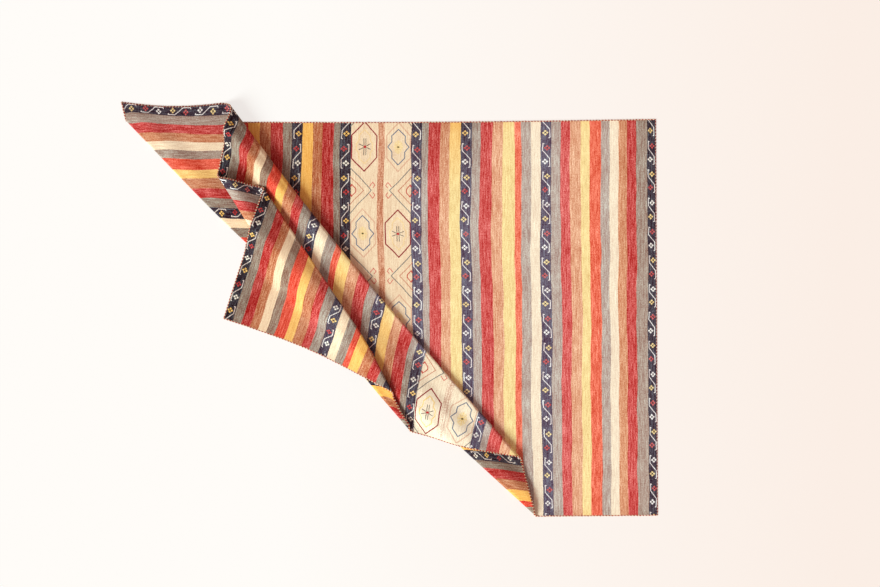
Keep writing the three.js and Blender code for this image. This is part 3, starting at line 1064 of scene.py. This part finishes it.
@dataclass
class KilimFinish:
    """The rug's woven face: stripes, streaks, ribs and motifs, read from the flat cloth's own map.

    Sizes are in millimetres on the flat cloth, but relief_depth is in metres. Some patches are paler in the
    rug's first half, deeper in its second and paler on its back, and some of these are painted light and
    shade of the folds.
    """

    cloth: FoldedCloth
    band: BandMotif = BandMotif()
    columns: FieldMotif = FieldMotif()
    binding: float = 4.3
    edge_softness: float = 0.9
    wander_grain: Pair = (0.006, 0.0045)
    wander_detail: float = 2.0
    stripe_wander: float = 14.0
    motif_wander: float = 12.0
    ragged: Grain = Grain(along=0.02, across=0.25, weight=2.5)
    narrow_end: Pair = (75, 40)
    narrow_share: float = 0.18
    first_paling_and_painted_light: tuple[Patch, ...] = (
        # Partly paler yarn and partly painted light on the folded layers that face the sun, spared where the
        # top layer lies flat.
        Patch(
            0.36,
            along=(100, 400),
            across=(600, 850),
            over=(0, 300),
            slope=0.9,
            spared=Patch(0.8, along=(430, 560), across=(1150, 1300)),
        ),
        # Painted light in a band beside a crease, where the folded cloth faces the sun.
        Patch(0.6, along=(350, 600), over=(514, 434), slope=0.789, limit=424),
        Patch(0.25, along=(820, 950), across=(850, 1000)),
    )
    deeper_second: tuple[Patch, ...] = (
        Patch(0.6, along=(1450, 1350), across=(260, 60)),
        Patch(0.5, along=(1900, 1950), across=(1150, 100)),
        Patch(0.25, across=(40, 0)),
        Patch(0.25, across=(1435, 1472)),
    )
    # The underside is paler up to 250 mm from the left end and palest at its tip, partly its own colour and
    # partly painted light; further on it takes the deep dyes, as painted shade under the layer above.
    back_paling_and_painted_light: tuple[Patch, ...] = (Patch(0.4, along=(400, 250)), Patch(0.4, along=(110, 60)))
    fine: Grain = Grain(along=0.26, across=0.19, weight=8.0, shift=(0.0, 37.0))
    streaks: tuple[Grain, ...] = (
        Grain(along=0.23, across=0.03, weight=6.5, shift=(0.0, -37.0)),
        Grain(along=0.19, across=0.011, weight=6.5, detail=2.0, shift=(37.0, 0.0)),
        Grain(along=0.012, across=0.009, weight=3.0, detail=2.0),
    )
    streak_tint: Triple = (0.78, 1.14, 1.08)
    display_gamma: float = 2.2
    rib_pitch: float = 3.6
    pick_pitch: float = 2.6
    pick_depth: float = 0.25
    fuzz: float = 0.15
    relief_depth: float = 0.0005
    relief_strength: float = 0.6
    book: ShaderBook = field(init=False)
    half: float = field(init=False)
    edges: np.ndarray = field(init=False)
    map_name: ClassVar[str] = "flat_cloth"
    side_name: ClassVar[str] = "underside"

    def __post_init__(self) -> None:
        """Starts the material and places the stripes' edges between the rug's end and its middle."""
        self.book = ShaderBook(bpy.data.materials.new("woven_wool"))
        self.half = self.cloth.length / 2 + self.binding
        edges = np.cumsum([0.0] + [stripe.width for stripe in STRIPES])
        self.edges = edges * self.half / edges[-1]

    def stroke_distance(self, place: Socket, stroke: Stroke) -> Signal:
        """How far a place is from a stroke's outline.

        Args:
            place: the place, in the motif's millimetres.
            stroke: the stroke.

        Returns:
            The distance, negative inside the outline.
        """
        book = self.book
        start = (*stroke.start, 0.0)
        run = (stroke.end[0] - stroke.start[0], stroke.end[1] - stroke.start[1], 0.0)
        offset = book.vector("SUBTRACT", place, start)
        square = run[0] ** 2 + run[1] ** 2
        share = book.measure("DOT_PRODUCT", offset, tuple(part / square for part in run)).held()
        nearest = book.vector("SCALE", run, scale=share)
        return book.measure("DISTANCE", offset, nearest) - stroke.width / 2

    def strokes_mask(self, place: Socket, drawn: Sequence[Stroke]) -> Signal:
        """1 on a motif's strokes and 0 off them, with a soft edge."""
        return self.inside(reduce(Signal.least, [self.stroke_distance(place, stroke) for stroke in drawn]))

    def ellipse_mask(self, place: Socket, sizes: Pair) -> Signal:
        """1 inside an ellipse of two half-widths and 0 outside it, with a soft edge."""
        reach = self.book.measure("LENGTH", self.book.vector("DIVIDE", place, (*sizes, 1.0)))
        return self.inside((reach - 1) * sizes[1])

    def inside(self, gap: Signal) -> Signal:
        """1 where a distance is negative and 0 where it is positive, with a soft edge."""
        return (0.5 - gap / self.edge_softness).held()

    def within(self, value: Signal, low: float, high: float) -> Signal:
        """1 where a number lies between two limits."""
        return (value > low) * (value < high)

    def dye(self, paler: Signal, dyes: tuple[Dye, Dye]) -> Socket:
        """A dye that is paler in places."""
        return self.book.blend(paler, linear(*dyes[0]), linear(*dyes[1]))

    def places(self, u: Signal, v: Signal) -> tuple[Signal, Signal, Signal]:
        """Where the uneven weave puts a point of the pattern.

        Args:
            u: place along the flat rug.
            v: place across the flat rug.

        Returns:
            1 in the rug's second half, the distance from its nearer end, and the place across it.
        """
        book = self.book
        grain = book.point(u * self.wander_grain[0], v * self.wander_grain[1])
        uneven = book.noise(grain, self.wander_detail).outputs["Color"]
        shifts = [part - 0.5 for part in book.parts(uneven)]
        wander = shifts[0] * self.stripe_wander + self.ragged.signal(book, u, v)
        in_second = u > self.half - self.binding
        across = self.half - abs(u + (self.binding - self.half)) + wander * (1 - in_second * 2)
        narrowed = in_second * book.share(across, *self.narrow_end) * self.narrow_share
        return in_second, across * (narrowed + 1), v + shifts[1] * self.motif_wander

    def paleness(self, in_second: Signal, u: Signal, v: Signal) -> Signal:
        """How far the colours are from the deep dyes to the pale ones, painted light and shade included.

        Args:
            in_second: 1 in the rug's second half.
            u: place along the flat rug.
            v: place across the flat rug.

        Returns:
            From 0 where they are deep to 1 where they are pale.
        """
        book = self.book
        side = book.node("ShaderNodeAttribute", {"attribute_name": self.side_name})
        underside = Signal(book, side.outputs["Fac"])
        first, deeper, back = (
            sum(patch.signal(book, u, v) for patch in patches)
            for patches in (self.first_paling_and_painted_light, self.deeper_second, self.back_paling_and_painted_light)
        )
        face = in_second * (1 - deeper) + (1 - in_second) * first
        return face + underside * (back - face)

    def stripes(self, place: Signal, paler: Signal) -> tuple[Socket, Signal]:
        """The stripes of both halves, the dyes between them as paler says.

        Args:
            place: distance from the nearer end of the rug, 1 at its middle.
            paler: how far the dyes are from the deep ones to the pale ones.

        Returns:
            Their colour and how streaky they are.
        """
        book = self.book
        yarns = ([stripe.first for stripe in STRIPES], [stripe.second for stripe in STRIPES])
        ramps = []
        for row in yarns:
            stops = [(edge / self.half, yarn.stop()) for edge, yarn in zip(self.edges, row)]
            ramps.append(book.node("ShaderNodeValToRGB", {"stops": stops}, {0: place}))
        deep, pale = (Signal(book, ramp.outputs["Alpha"]) for ramp in ramps)
        colour = book.blend(paler, ramps[0].outputs["Color"], ramps[1].outputs["Color"])
        return colour, deep + paler * (pale - deep)

    def band_colour(self, ground: Socket, paler: Signal, across: Signal, u: Signal, v: Signal) -> Socket:
        """Lays the navy bands' motif on a colour.

        Args:
            ground: the colour under it.
            paler: how far the dyes are from the deep ones to the pale ones.
            across: distance from the nearer end of the rug.
            u: place along the flat rug.
            v: place across the flat rug.

        Returns:
            The colour with the motif.
        """
        book, band = self.book, self.band
        on_bands, offsets = [], []
        for index, stripe in enumerate(STRIPES):
            if stripe.second in (Yarn.NAVY, Yarn.BAND):
                low, high = self.edges[index], self.edges[index + 1]
                middle = (low + high) / 2 + (0.0 if index else band.first_band_inwards)
                on_bands.append(self.within(across, low, high))
                offsets.append(on_bands[-1] * (across - middle))
        on_band, x = sum(on_bands), sum(offsets)

        at_left = u < self.edges[1]
        unit_length = 2 * (band.half_unit + at_left * (band.left_half_unit - band.half_unit))
        first = band.first_flower + at_left * (band.left_first_flower - band.first_flower)
        from_first = v + self.binding - first
        y = (from_first + band.wrap_before).over(unit_length) - band.wrap_before
        hooks = self.strokes_mask(book.point(x, y), band.hook)
        number = (from_first / unit_length * 2).rounded()
        odd = number.over(2)
        flower = band.even_flower + odd * (band.odd_flower - band.even_flower)
        flower_x = abs(x - flower) / band.petal_breadth
        flower_y = abs(from_first - number * unit_length * 0.5 - odd * band.odd_lag)
        beside = abs(flower_x - band.petal_reach) + flower_y
        above = abs(flower_y - band.petal_reach) + flower_x
        petals = self.inside(beside.least(above) - band.petal_size)
        heart = self.inside(flower_x + flower_y - band.heart_size)

        cycle = number.over(3)
        yellow, red, white = (self.dye(paler, dyes) for dyes in (band.yellow, band.red, band.white))
        petal = book.blend(self.within(cycle, 0.5, 1.5), yellow, red)
        petal = book.blend(cycle > 1.5, petal, white)
        colour = book.blend(hooks * on_band, ground, self.dye(paler, band.thread))
        colour = book.blend(petals * on_band, colour, petal)
        return book.blend(heart * on_band, colour, linear(*band.heart))

    def field_colour(self, ground: Socket, across: Signal, u: Signal, v: Signal) -> Socket:
        """Lays the cream columns' medallions and half diamonds on a colour.

        Args:
            ground: the colour under them.
            across: distance from the nearer end of the rug.
            u: place along the flat rug.
            v: place across the flat rug.

        Returns:
            The colour with the motifs.
        """
        book, motif = self.book, self.columns
        column = [stripe.second for stripe in STRIPES].index(Yarn.FIELD)
        low, high = self.edges[column], self.edges[column + 1]
        on_column = self.within(across, low, high)
        steps = (v + self.binding - motif.first_medallion) / motif.spacing
        number = steps.rounded()
        off = abs(steps - number)
        on_right = u > self.half - self.binding
        other = (number + on_right).over(2)
        quarter = book.point(abs(across - (low + high) / 2), off * motif.spacing)
        side = book.point(across - low, abs(off - 0.5) * motif.spacing)
        figures = {
            Figure.STAR: (quarter, on_column * (1 - other)),
            Figure.QUATREFOIL: (quarter, on_column * other),
            Figure.DIAMOND: (side, on_column),
        }
        clearer = book.share(v, *motif.clear) * motif.more_clear + motif.least_clear
        # Paler ground towards the bottom side, partly painted light.
        paling_and_light = book.share(v, *motif.paling_and_light) * motif.paling_and_light_share * (across > low)
        colour = book.blend(paling_and_light, ground, linear(*motif.paling_and_light_dye))
        for mark in motif.marks:
            place, shown = figures[mark.figure]
            if mark.strokes:
                mask = self.strokes_mask(place, mark.strokes)
            else:
                mask = self.ellipse_mask(place, mark.ellipse)
            if mark.clearer_below:
                mask = mask * clearer
            colour = book.blend(mask * mark.strength * shown, colour, linear(*mark.dye))
        return colour

    def streaked(self, colour: Socket, streaky: Signal, grain: Signal) -> Socket:
        """A colour made lighter and darker by even steps to the eye.

        Args:
            colour: the dyed colour.
            streaky: how streaky the yarn is.
            grain: how uneven the wool is.

        Returns:
            The streaked colour.
        """
        book, gamma = self.book, self.display_gamma
        shown = book.node("ShaderNodeGamma", inputs={"Color": colour, "Gamma": 1 / gamma}).outputs[0]
        shown = book.vector("ADD", shown, book.vector("SCALE", self.streak_tint, scale=streaky * grain))
        return book.node("ShaderNodeGamma", inputs={"Color": shown, "Gamma": gamma}).outputs[0]

    def relief(self, fine: Signal, u: Signal, v: Signal) -> Signal:
        """The weave's ribs and picks.

        Args:
            fine: the wool's fine grain.
            u: place along the flat rug.
            v: place across the flat rug.

        Returns:
            Their height, from 0 to about 1.
        """
        rib = abs((v * (math.pi / self.rib_pitch)).math("SINE"))
        row = (v / self.rib_pitch).math("FLOOR").over(2)
        pick = (u * (math.tau / self.pick_pitch) + row * math.pi).math("SINE")
        return rib * (pick * self.pick_depth + (1 - self.pick_depth)) + fine * self.fuzz

    def material(self) -> bpy.types.Material:
        """Builds the whole material."""
        book = self.book
        flat = book.node("ShaderNodeUVMap", {"uv_map": self.map_name}).outputs[0]
        u, v = (part * (1 / MM) for part in book.parts(flat))
        in_second, across, along = self.places(u, v)
        paler = self.paleness(in_second, u, v)
        colour, streaky = self.stripes(across / self.half, paler)
        colour = self.band_colour(colour, paler, across, u, along)
        colour = self.field_colour(colour, across, u, along)
        fine = self.fine.signal(book, u, v)
        grain = sum((streak.signal(book, u, v) for streak in self.streaks), fine)
        colour = self.streaked(colour, streaky, grain)
        relief = self.relief(fine, u, v)
        return book.finish(book.wool(colour, relief, self.relief_depth, self.relief_strength))


# ---- the cloth ----


def placed(name: str, data: bpy.types.ID) -> bpy.types.Object:
    """A new object of the scene.

    Args:
        name: its name.
        data: its mesh, lamp or camera.

    Returns:
        The object.
    """
    made = bpy.data.objects.new(name, data)
    bpy.context.scene.collection.objects.link(made)
    return made


@dataclass
class WovenCloth:
    """The rug's one piece of cloth, with its thickness, on the frame's node."""

    shape: FoldedCloth
    thickness: float = 3.2
    points: np.ndarray = field(init=False)
    flats: np.ndarray = field(init=False)
    normals: np.ndarray = field(init=False)
    shift: Pair = field(init=False)

    def __post_init__(self) -> None:
        """Places the folded surface in the frame, in metres."""
        points, self.flats = self.shape.surface()
        self.normals = self.shape.normals(points)
        right = self.shape.bottom_right
        self.shift = (
            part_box("cloth")[1].x - right[0] * MM,
            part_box("binding_right_end")[0].y - right[1] * MM,
        )
        self.points = points * MM + np.array([*self.shift, 0.0])

    def build(self) -> bpy.types.Object:
        """Makes the closed cloth.

        Returns:
            The object, with its map of the flat cloth and its mark for the underside.
        """
        rows, columns = self.points.shape[:2]
        half = self.thickness / 2 * MM
        face = self.points + self.normals * half
        back = self.points - self.normals * half
        count = rows * (columns - 1) + 1
        number = np.arange(rows)[:, None] * (columns - 1) + np.arange(columns)[None]
        number[:, -1] = count - 1
        below = number + count
        coords = []
        for side in (face, back):
            coords += [side[:, :-1].reshape(-1, 3), side[:1, -1]]
        quads = [
            self._quads(number[:-1, :-1], number[:-1, 1:], number[1:, 1:], number[1:, :-1]),
            self._quads(below[:-1, :-1], below[1:, :-1], below[1:, 1:], below[:-1, 1:]),
            self._quads(number[:-1, 0], number[1:, 0], below[1:, 0], below[:-1, 0]),
            self._quads(number[0, :-1], below[0, :-1], below[0, 1:], number[0, 1:]),
            self._quads(number[-1, 1:], below[-1, 1:], below[-1, :-1], number[-1, :-1]),
        ]
        faces = []
        for quad in np.concatenate(quads):
            faces.append([corner for k, corner in enumerate(quad) if corner != quad[k - 1]])
        mesh = bpy.data.meshes.new("woven_cloth")
        mesh.from_pydata(np.concatenate(coords).tolist(), [], faces)
        mesh.validate()
        flat = np.concatenate([self.flats[:, :-1].reshape(-1, 2), self.flats[:1, -1]]) * MM
        self._mark(mesh, np.concatenate([flat, flat]), count)
        return placed("woven_cloth", mesh)

    @staticmethod
    def _quads(*corners: np.ndarray) -> np.ndarray:
        """Rows of four corners from four arrays of corners."""
        return np.stack([np.asarray(part).ravel() for part in corners], 1)

    def _mark(self, mesh: bpy.types.Mesh, flat: np.ndarray, count: int) -> None:
        """Gives the mesh its flat map, its underside mark and its shading.

        Args:
            mesh: the cloth.
            flat: each vertex's place on the flat cloth, in metres.
            count: how many vertices its face has.
        """
        corners = np.empty(len(mesh.loops), np.int32)
        mesh.loops.foreach_get("vertex_index", corners)
        layer = mesh.uv_layers.new(name=KilimFinish.map_name)
        layer.uv.foreach_set("vector", flat[corners].astype(np.float32).ravel())
        side = mesh.attributes.new(KilimFinish.side_name, "FLOAT", "POINT")
        side.data.foreach_set("value", (np.arange(len(mesh.vertices)) >= count).astype(np.float32))
        mesh.polygons.foreach_set("use_smooth", np.ones(len(mesh.polygons), bool))
        edges = np.empty(len(mesh.edges) * 2, np.int32)
        mesh.edges.foreach_get("vertices", edges)
        edges = edges.reshape(-1, 2)
        rim_faces = [polygon for polygon in mesh.polygons if len({v >= count for v in polygon.vertices}) == 2]
        rim = {tuple(sorted(key)) for polygon in rim_faces for key in polygon.edge_keys}
        same_side = (edges[:, 0] >= count) == (edges[:, 1] >= count)
        sharp = mesh.attributes.new("sharp_edge", "BOOLEAN", "EDGE")
        marked = [bool(same) and tuple(sorted(edge)) in rim for same, edge in zip(same_side, edges.tolist())]
        sharp.data.foreach_set("value", marked)

    def dress(
        self, made: bpy.types.Object, material: bpy.types.Material, trims: Sequence[bpy.types.Object]
    ) -> None:
        """Args:
            made: the cloth.
            material: its woven finish.
            trims: the stitched edges that go with it; not used.
        """
        made.data.materials.append(material)
        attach(made, "root")
        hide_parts("cloth")


# ---- the overcast edges ----


class GeometryBook(NodeBook):
    """The nodes of one Geometry Nodes tree."""

    def __init__(self, name: str) -> None:
        """Starts a tree that takes and gives a geometry.

        Args:
            name: the tree's name.
        """
        super().__init__(bpy.data.node_groups.new(name, "GeometryNodeTree"))
        self.tree.interface.new_socket("Geometry", in_out="INPUT", socket_type="NodeSocketGeometry")
        self.tree.interface.new_socket("Geometry", in_out="OUTPUT", socket_type="NodeSocketGeometry")
        self.entry = self.tree.nodes.new("NodeGroupInput")

    def size(self, name: str, value: float | None, kind: str = "NodeSocketFloat") -> None:
        """Adds a named input.

        Args:
            name: the input's name.
            value: its usual value, or nothing for a material.
            kind: its socket type.
        """
        socket = self.tree.interface.new_socket(name, in_out="INPUT", socket_type=kind)
        if value is not None:
            socket.default_value = value

    def given(self, name: str) -> Signal:
        """A named input."""
        return Signal(self, self.entry.outputs[name])

    def identifier(self, name: str) -> str:
        """The identifier of a named input, by which a modifier sets it."""
        return next(item.identifier for item in self.tree.interface.items_tree if item.name == name)

    def finish(self, geometry: Socket) -> None:
        """Joins a geometry to the tree's output."""
        exit_node = self.tree.nodes.new("NodeGroupOutput")
        self.tree.links.new(geometry, exit_node.inputs[0])


@dataclass(frozen=True)
class EdgeYarnFinish:
    """Red and cream wool yarn, one colour for each stitch. Its relief is in metres."""

    name: str = "edge_yarn"
    red: Dye = (184, 70, 58)
    cream: Dye = (236, 204, 168)
    fuzz_scale: float = 900.0
    fuzz_shade: float = 0.5
    relief_depth: float = 0.0004
    relief_strength: float = 0.7
    stitch_name: ClassVar[str] = "stitch"

    def material(self) -> bpy.types.Material:
        """Builds the material."""
        book = ShaderBook(bpy.data.materials.new(self.name))
        stitch = book.node("ShaderNodeAttribute", {"attribute_name": self.stitch_name})
        place = book.node("ShaderNodeTexCoord").outputs["Object"]
        inputs = {"Vector": place, "Scale": self.fuzz_scale, "Detail": 2.0}
        fuzz = Signal(book, book.node("ShaderNodeTexNoise", inputs=inputs).outputs[0]) - 0.5
        is_cream = Signal(book, stitch.outputs["Fac"]) > 0.5
        colour = book.blend(is_cream, linear(*self.red), linear(*self.cream))
        colour = book.vector("SCALE", colour, scale=1 + fuzz * self.fuzz_shade)
        return book.finish(book.wool(colour, fuzz, self.relief_depth, self.relief_strength))


NEW_YARN = EdgeYarnFinish()
WORN_YARN = EdgeYarnFinish("worn_edge_yarn", red=(158, 76, 72), cream=(208, 172, 154))


class Edge(Enum):
    """The rug's four edges, as the nodes they stand on."""

    RIGHT_END = "right_end"
    TOP_SIDE = "top_side"
    LEFT_END = "left_end"
    BOTTOM_SIDE = "bottom_side"


@dataclass
class OvercastEdges:
    """The yarn sewn over the cloth's edges, stitch by stitch, in metres."""

    cloth: WovenCloth
    stitch_width: float = 0.00575
    reach: float = 0.0023
    centre: float = 0.0011
    half_height: float = 0.0014
    yarn_thickness: float = 0.0011
    lean: float = 0.35
    slant: float = 0.22
    least_scale: Triple = (0.9, 0.88, 0.9)
    most_scale: Triple = (1.12, 1.06, 1.1)
    ring_points: int = 10
    yarn_points: int = 6
    seed: int = 7

    def path(self, edge: Edge) -> Rows:
        """The run of an edge, with the cloth on its left.

        Args:
            edge: which edge.

        Returns:
            Its points and the cloth's normals there.
        """
        points, normals, flats = self.cloth.points, self.cloth.normals, self.cloth.flats
        corner = int(np.argmin(np.linalg.norm(flats[0], axis=-1)))
        picks = {
            Edge.RIGHT_END: (slice(None, None, -1), 0),
            Edge.TOP_SIDE: (0, slice(None, corner + 1)),
            Edge.LEFT_END: (0, slice(corner, None)),
            Edge.BOTTOM_SIDE: (-1, slice(None, None, -1)),
        }
        pick = picks[edge]
        return points[pick], normals[pick]

    def circle(self, book: GeometryBook, points: int, radius: float) -> Socket:
        """A circle of a few points in a geometry tree."""
        inputs = {"Resolution": points, "Radius": radius}
        return book.node("GeometryNodeCurvePrimitiveCircle", {"mode": "RADIUS"}, inputs).outputs[0]

    def stitch(self, book: GeometryBook) -> Socket:
        """One stitch, as a leaning ring of yarn.

        Args:
            book: the tree, with its named inputs.

        Returns:
            The stitch's mesh.
        """
        given = book.given
        across, up = book.parts(book.node("GeometryNodeInputPosition").outputs[0])
        place = book.node(
            "ShaderNodeCombineXYZ",
            inputs={
                "X": (across + up * given("Lean")) * given("Reach") + given("Centre"),
                "Y": up * given("Slant") * given("Stitch Width"),
                "Z": up * given("Half Height"),
            },
        )
        ring = book.node(
            "GeometryNodeSetPosition",
            inputs={"Geometry": self.circle(book, self.ring_points, 1.0), "Position": place.outputs[0]},
        )
        width = book.node(
            "ShaderNodeCombineXYZ",
            inputs={"X": given("Yarn Thickness"), "Y": given("Stitch Width"), "Z": 1.0},
        )
        section = book.node(
            "GeometryNodeTransform",
            inputs={"Geometry": self.circle(book, self.yarn_points, 0.5), "Scale": width.outputs[0]},
        )
        wrapped = book.node("GeometryNodeCurveToMesh", inputs={0: ring.outputs[0], 1: section.outputs[0]})
        return wrapped.outputs[0]

    def tree(self) -> GeometryBook:
        """The nodes that wrap a row of stitches round an edge."""
        book = GeometryBook("overcast_stitches")
        sizes = {
            "Stitch Width": self.stitch_width,
            "Reach": self.reach,
            "Centre": self.centre,
            "Half Height": self.half_height,
            "Yarn Thickness": self.yarn_thickness,
            "Lean": self.lean,
            "Slant": self.slant,
        }
        for name, value in sizes.items():
            book.size(name, value)
        book.size("Material", None, "NodeSocketMaterial")
        book.size("Seed", self.seed, "NodeSocketInt")

        line = book.node("GeometryNodeMeshToCurve", inputs={0: book.entry.outputs["Geometry"]})
        seats = book.node(
            "GeometryNodeResampleCurve",
            {"mode": "LENGTH"},
            {"Curve": line.outputs[0], "Length": book.given("Stitch Width")},
        )
        rise = book.node("GeometryNodeInputNamedAttribute", {"data_type": "FLOAT_VECTOR"}, {"Name": "rise"})
        forward = book.node("GeometryNodeInputTangent")
        turn = book.node(
            "FunctionNodeAxesToRotation",
            {"primary_axis": "Z", "secondary_axis": "Y"},
            {0: rise.outputs[0], 1: forward.outputs[0]},
        )
        uneven = book.node(
            "FunctionNodeRandomValue",
            {"data_type": "FLOAT_VECTOR"},
            {"Min": self.least_scale, "Max": self.most_scale, "Seed": book.given("Seed")},
        )
        placed = book.node(
            "GeometryNodeInstanceOnPoints",
            inputs={
                "Points": seats.outputs[0],
                "Instance": self.stitch(book),
                "Rotation": turn.outputs[0],
                "Scale": uneven.outputs[0],
            },
        )
        parity = Signal(book, book.node("GeometryNodeInputIndex").outputs[0]).over(2)
        marked = book.node(
            "GeometryNodeStoreNamedAttribute",
            {"data_type": "FLOAT", "domain": "INSTANCE"},
            {"Geometry": placed.outputs[0], "Name": EdgeYarnFinish.stitch_name, "Value": parity},
        )
        real = book.node("GeometryNodeRealizeInstances", inputs={"Geometry": marked.outputs[0]})
        smooth_shade = book.node("GeometryNodeSetShadeSmooth", inputs={0: real.outputs[0]})
        dressed = book.node(
            "GeometryNodeSetMaterial",
            inputs={"Geometry": smooth_shade.outputs[0], "Material": book.given("Material")},
        )
        book.finish(dressed.outputs[0])
        return book

    def build(self, edge: Edge, book: GeometryBook, material: bpy.types.Material) -> bpy.types.Object:
        """Makes one edge's stitches as a plain mesh.

        Args:
            edge: which edge.
            book: the stitch nodes.
            material: the yarn's finish.

        Returns:
            The stitches' object.
        """
        points, normals = self.path(edge)
        line = bpy.data.meshes.new(f"{edge.value}_line")
        line.from_pydata(points.tolist(), [(k, k + 1) for k in range(len(points) - 1)], [])
        rise = line.attributes.new("rise", "FLOAT_VECTOR", "POINT")
        rise.data.foreach_set("vector", normals.astype(np.float32).ravel())
        guide = placed(f"{edge.value}_guide", line)
        modifier = guide.modifiers.new("stitches", "NODES")
        modifier.node_group = book.tree
        modifier[book.identifier("Material")] = material
        modifier[book.identifier("Seed")] = self.seed + list(Edge).index(edge)
        graph = bpy.context.evaluated_depsgraph_get()
        mesh = bpy.data.meshes.new_from_object(guide.evaluated_get(graph), depsgraph=graph)
        bpy.data.objects.remove(guide)
        places = np.empty(len(mesh.vertices) * 3, np.float32)
        mesh.vertices.foreach_get("co", places)
        # Yarn that reaches the floor lies flat on it.
        places[2::3] = np.maximum(places[2::3], 0.0)
        mesh.vertices.foreach_set("co", places)
        mesh.update()
        return placed(f"overcast_{edge.value}", mesh)

    def dress(self, edge: Edge, made: bpy.types.Object) -> None:
        """Hangs one edge's stitches on the root and hides the binding they replace.

        Args:
            edge: which edge.
            made: its stitches.
        """
        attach(made, "root")
        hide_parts(f"binding_{edge.value}")


# ---- the studio ----


@dataclass
class Studio:
    """A pale floor, soft light from the lower left and a camera straight above, in metres.

    The floor's colour runs from left to right over floor_run, a painted falloff of the light.
    """

    view_centre: Pair = (0.19125, 0.05437)
    view_width: float = 3.3
    view_limit: float = 100.0
    lens: float = 120.0
    sensor: float = 36.0
    floor_size: float = 60.0
    floor_run: Pair = (-0.4, 1.7)
    floor_left: Dye = (255, 252, 248)
    floor_right: Dye = (251, 238, 229)
    floor_glow: float = 0.76
    sun_strength: float = 3.9
    sun_colour: Triple = (0.822, 0.979, 1.0)
    sun_spread: float = 30.0
    sun_elevation: float = 36.0
    sun_heading: float = 45.0
    sky_strength: float = 0.4
    sky_colour: Colour = (1.0, 0.7125, 0.675, 1.0)
    wall_colour: Colour = (0.97, 0.9, 0.84, 1.0)

    def floor_material(self) -> bpy.types.Material:
        """A pale floor, painted darker and warmer towards the right as a falloff of the light, that glows a
        little to the camera.
        """
        book = ShaderBook(bpy.data.materials.new("pale_floor"))
        x, _ = book.parts(book.node("ShaderNodeTexCoord").outputs["Object"])
        # Painted falloff of the light from left to right.
        share = book.share(x, *self.floor_run)
        colour = book.blend(share, linear(*self.floor_left), linear(*self.floor_right))
        matte = book.node("ShaderNodeBsdfDiffuse", inputs={"Color": colour})
        glow = book.node("ShaderNodeEmission", inputs={"Color": colour})
        seen = Signal(book, book.node("ShaderNodeLightPath").outputs["Is Camera Ray"]) * self.floor_glow
        mixed = book.node("ShaderNodeMixShader", inputs={0: seen, 1: matte.outputs[0], 2: glow.outputs[0]})
        return book.finish(mixed)

    def room(self) -> bpy.types.World:
        """A weak warm light from all round, behind which the camera sees a pale wall."""
        book = ShaderBook(bpy.data.worlds.new("pale_room"))
        shown = {"Color": self.sky_colour, "Strength": self.sky_strength}
        sky = book.node("ShaderNodeBackground", inputs=shown)
        wall = book.node("ShaderNodeBackground", inputs={"Color": self.wall_colour})
        seen = book.node("ShaderNodeLightPath").outputs["Is Camera Ray"]
        inputs = {0: seen, 1: sky.outputs[0], 2: wall.outputs[0]}
        return book.finish(book.node("ShaderNodeMixShader", inputs=inputs))

    def lay_floor(self) -> None:
        """Lays the floor."""
        half = self.floor_size / 2
        mesh = bpy.data.meshes.new("floor")
        corners = [(-half, -half, 0.0), (half, -half, 0.0), (half, half, 0.0), (-half, half, 0.0)]
        mesh.from_pydata(corners, [], [(0, 1, 2, 3)])
        mesh.materials.append(self.floor_material())
        floor = placed("floor", mesh)

    def hang_sun(self) -> None:
        """Hangs the soft light."""
        sun = bpy.data.lights.new("soft_sun", "SUN")
        sun.energy = self.sun_strength
        sun.color = self.sun_colour
        sun.angle = math.radians(self.sun_spread)
        lamp = placed("soft_sun", sun)
        heading, elevation = math.radians(self.sun_heading), math.radians(self.sun_elevation)
        flat = math.cos(elevation)
        ray = Vector((flat * math.cos(heading), flat * math.sin(heading), -math.sin(elevation)))
        lamp.rotation_mode = "QUATERNION"
        lamp.rotation_quaternion = ray.to_track_quat("-Z", "Y")

    def set_camera(self, shift: Pair) -> None:
        """Sets the camera straight above.

        Args:
            shift: how far the frame's origin is from the fold's own.
        """
        lens = bpy.data.cameras.new("camera")
        lens.lens = self.lens
        lens.sensor_width = self.sensor
        lens.clip_end = self.view_limit
        camera = placed("camera", lens)
        height = self.view_width * self.lens / self.sensor
        camera.location = (self.view_centre[0] + shift[0], self.view_centre[1] + shift[1], height)
        bpy.context.scene.camera = camera

    def build(self, shift: Pair) -> None:
        """Sets the floor, the light and the camera.

        Args:
            shift: how far the frame's origin is from the fold's own.
        """
        self.lay_floor()
        self.hang_sun()
        bpy.context.scene.world = self.room()
        bpy.context.scene.view_settings.view_transform = "Standard"
        self.set_camera(shift)


def main() -> None:
    """Builds the rug piece by piece and sets it in the studio."""
    logging.basicConfig(level=logging.INFO, format="%(name)s: %(message)s")
    shape = FoldedCloth()
    cloth = WovenCloth(shape)
    made = cloth.build()
    LOG.info("%s: %d faces", made.name, len(made.data.polygons))

    overcast = OvercastEdges(cloth)
    book = overcast.tree()
    yarn, worn = NEW_YARN.material(), WORN_YARN.material()
    trims = []
    for edge in Edge:
        stitches = overcast.build(edge, book, worn if edge is Edge.RIGHT_END else yarn)
        overcast.dress(edge, stitches)
        trims.append(stitches)
        LOG.info("%s: %d faces", stitches.name, len(stitches.data.polygons))

    cloth.dress(made, KilimFinish(shape).material(), trims)
    Studio().build(cloth.shift)
    LOG.info("studio ready")

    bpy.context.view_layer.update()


if __name__ == "__main__":
    main()
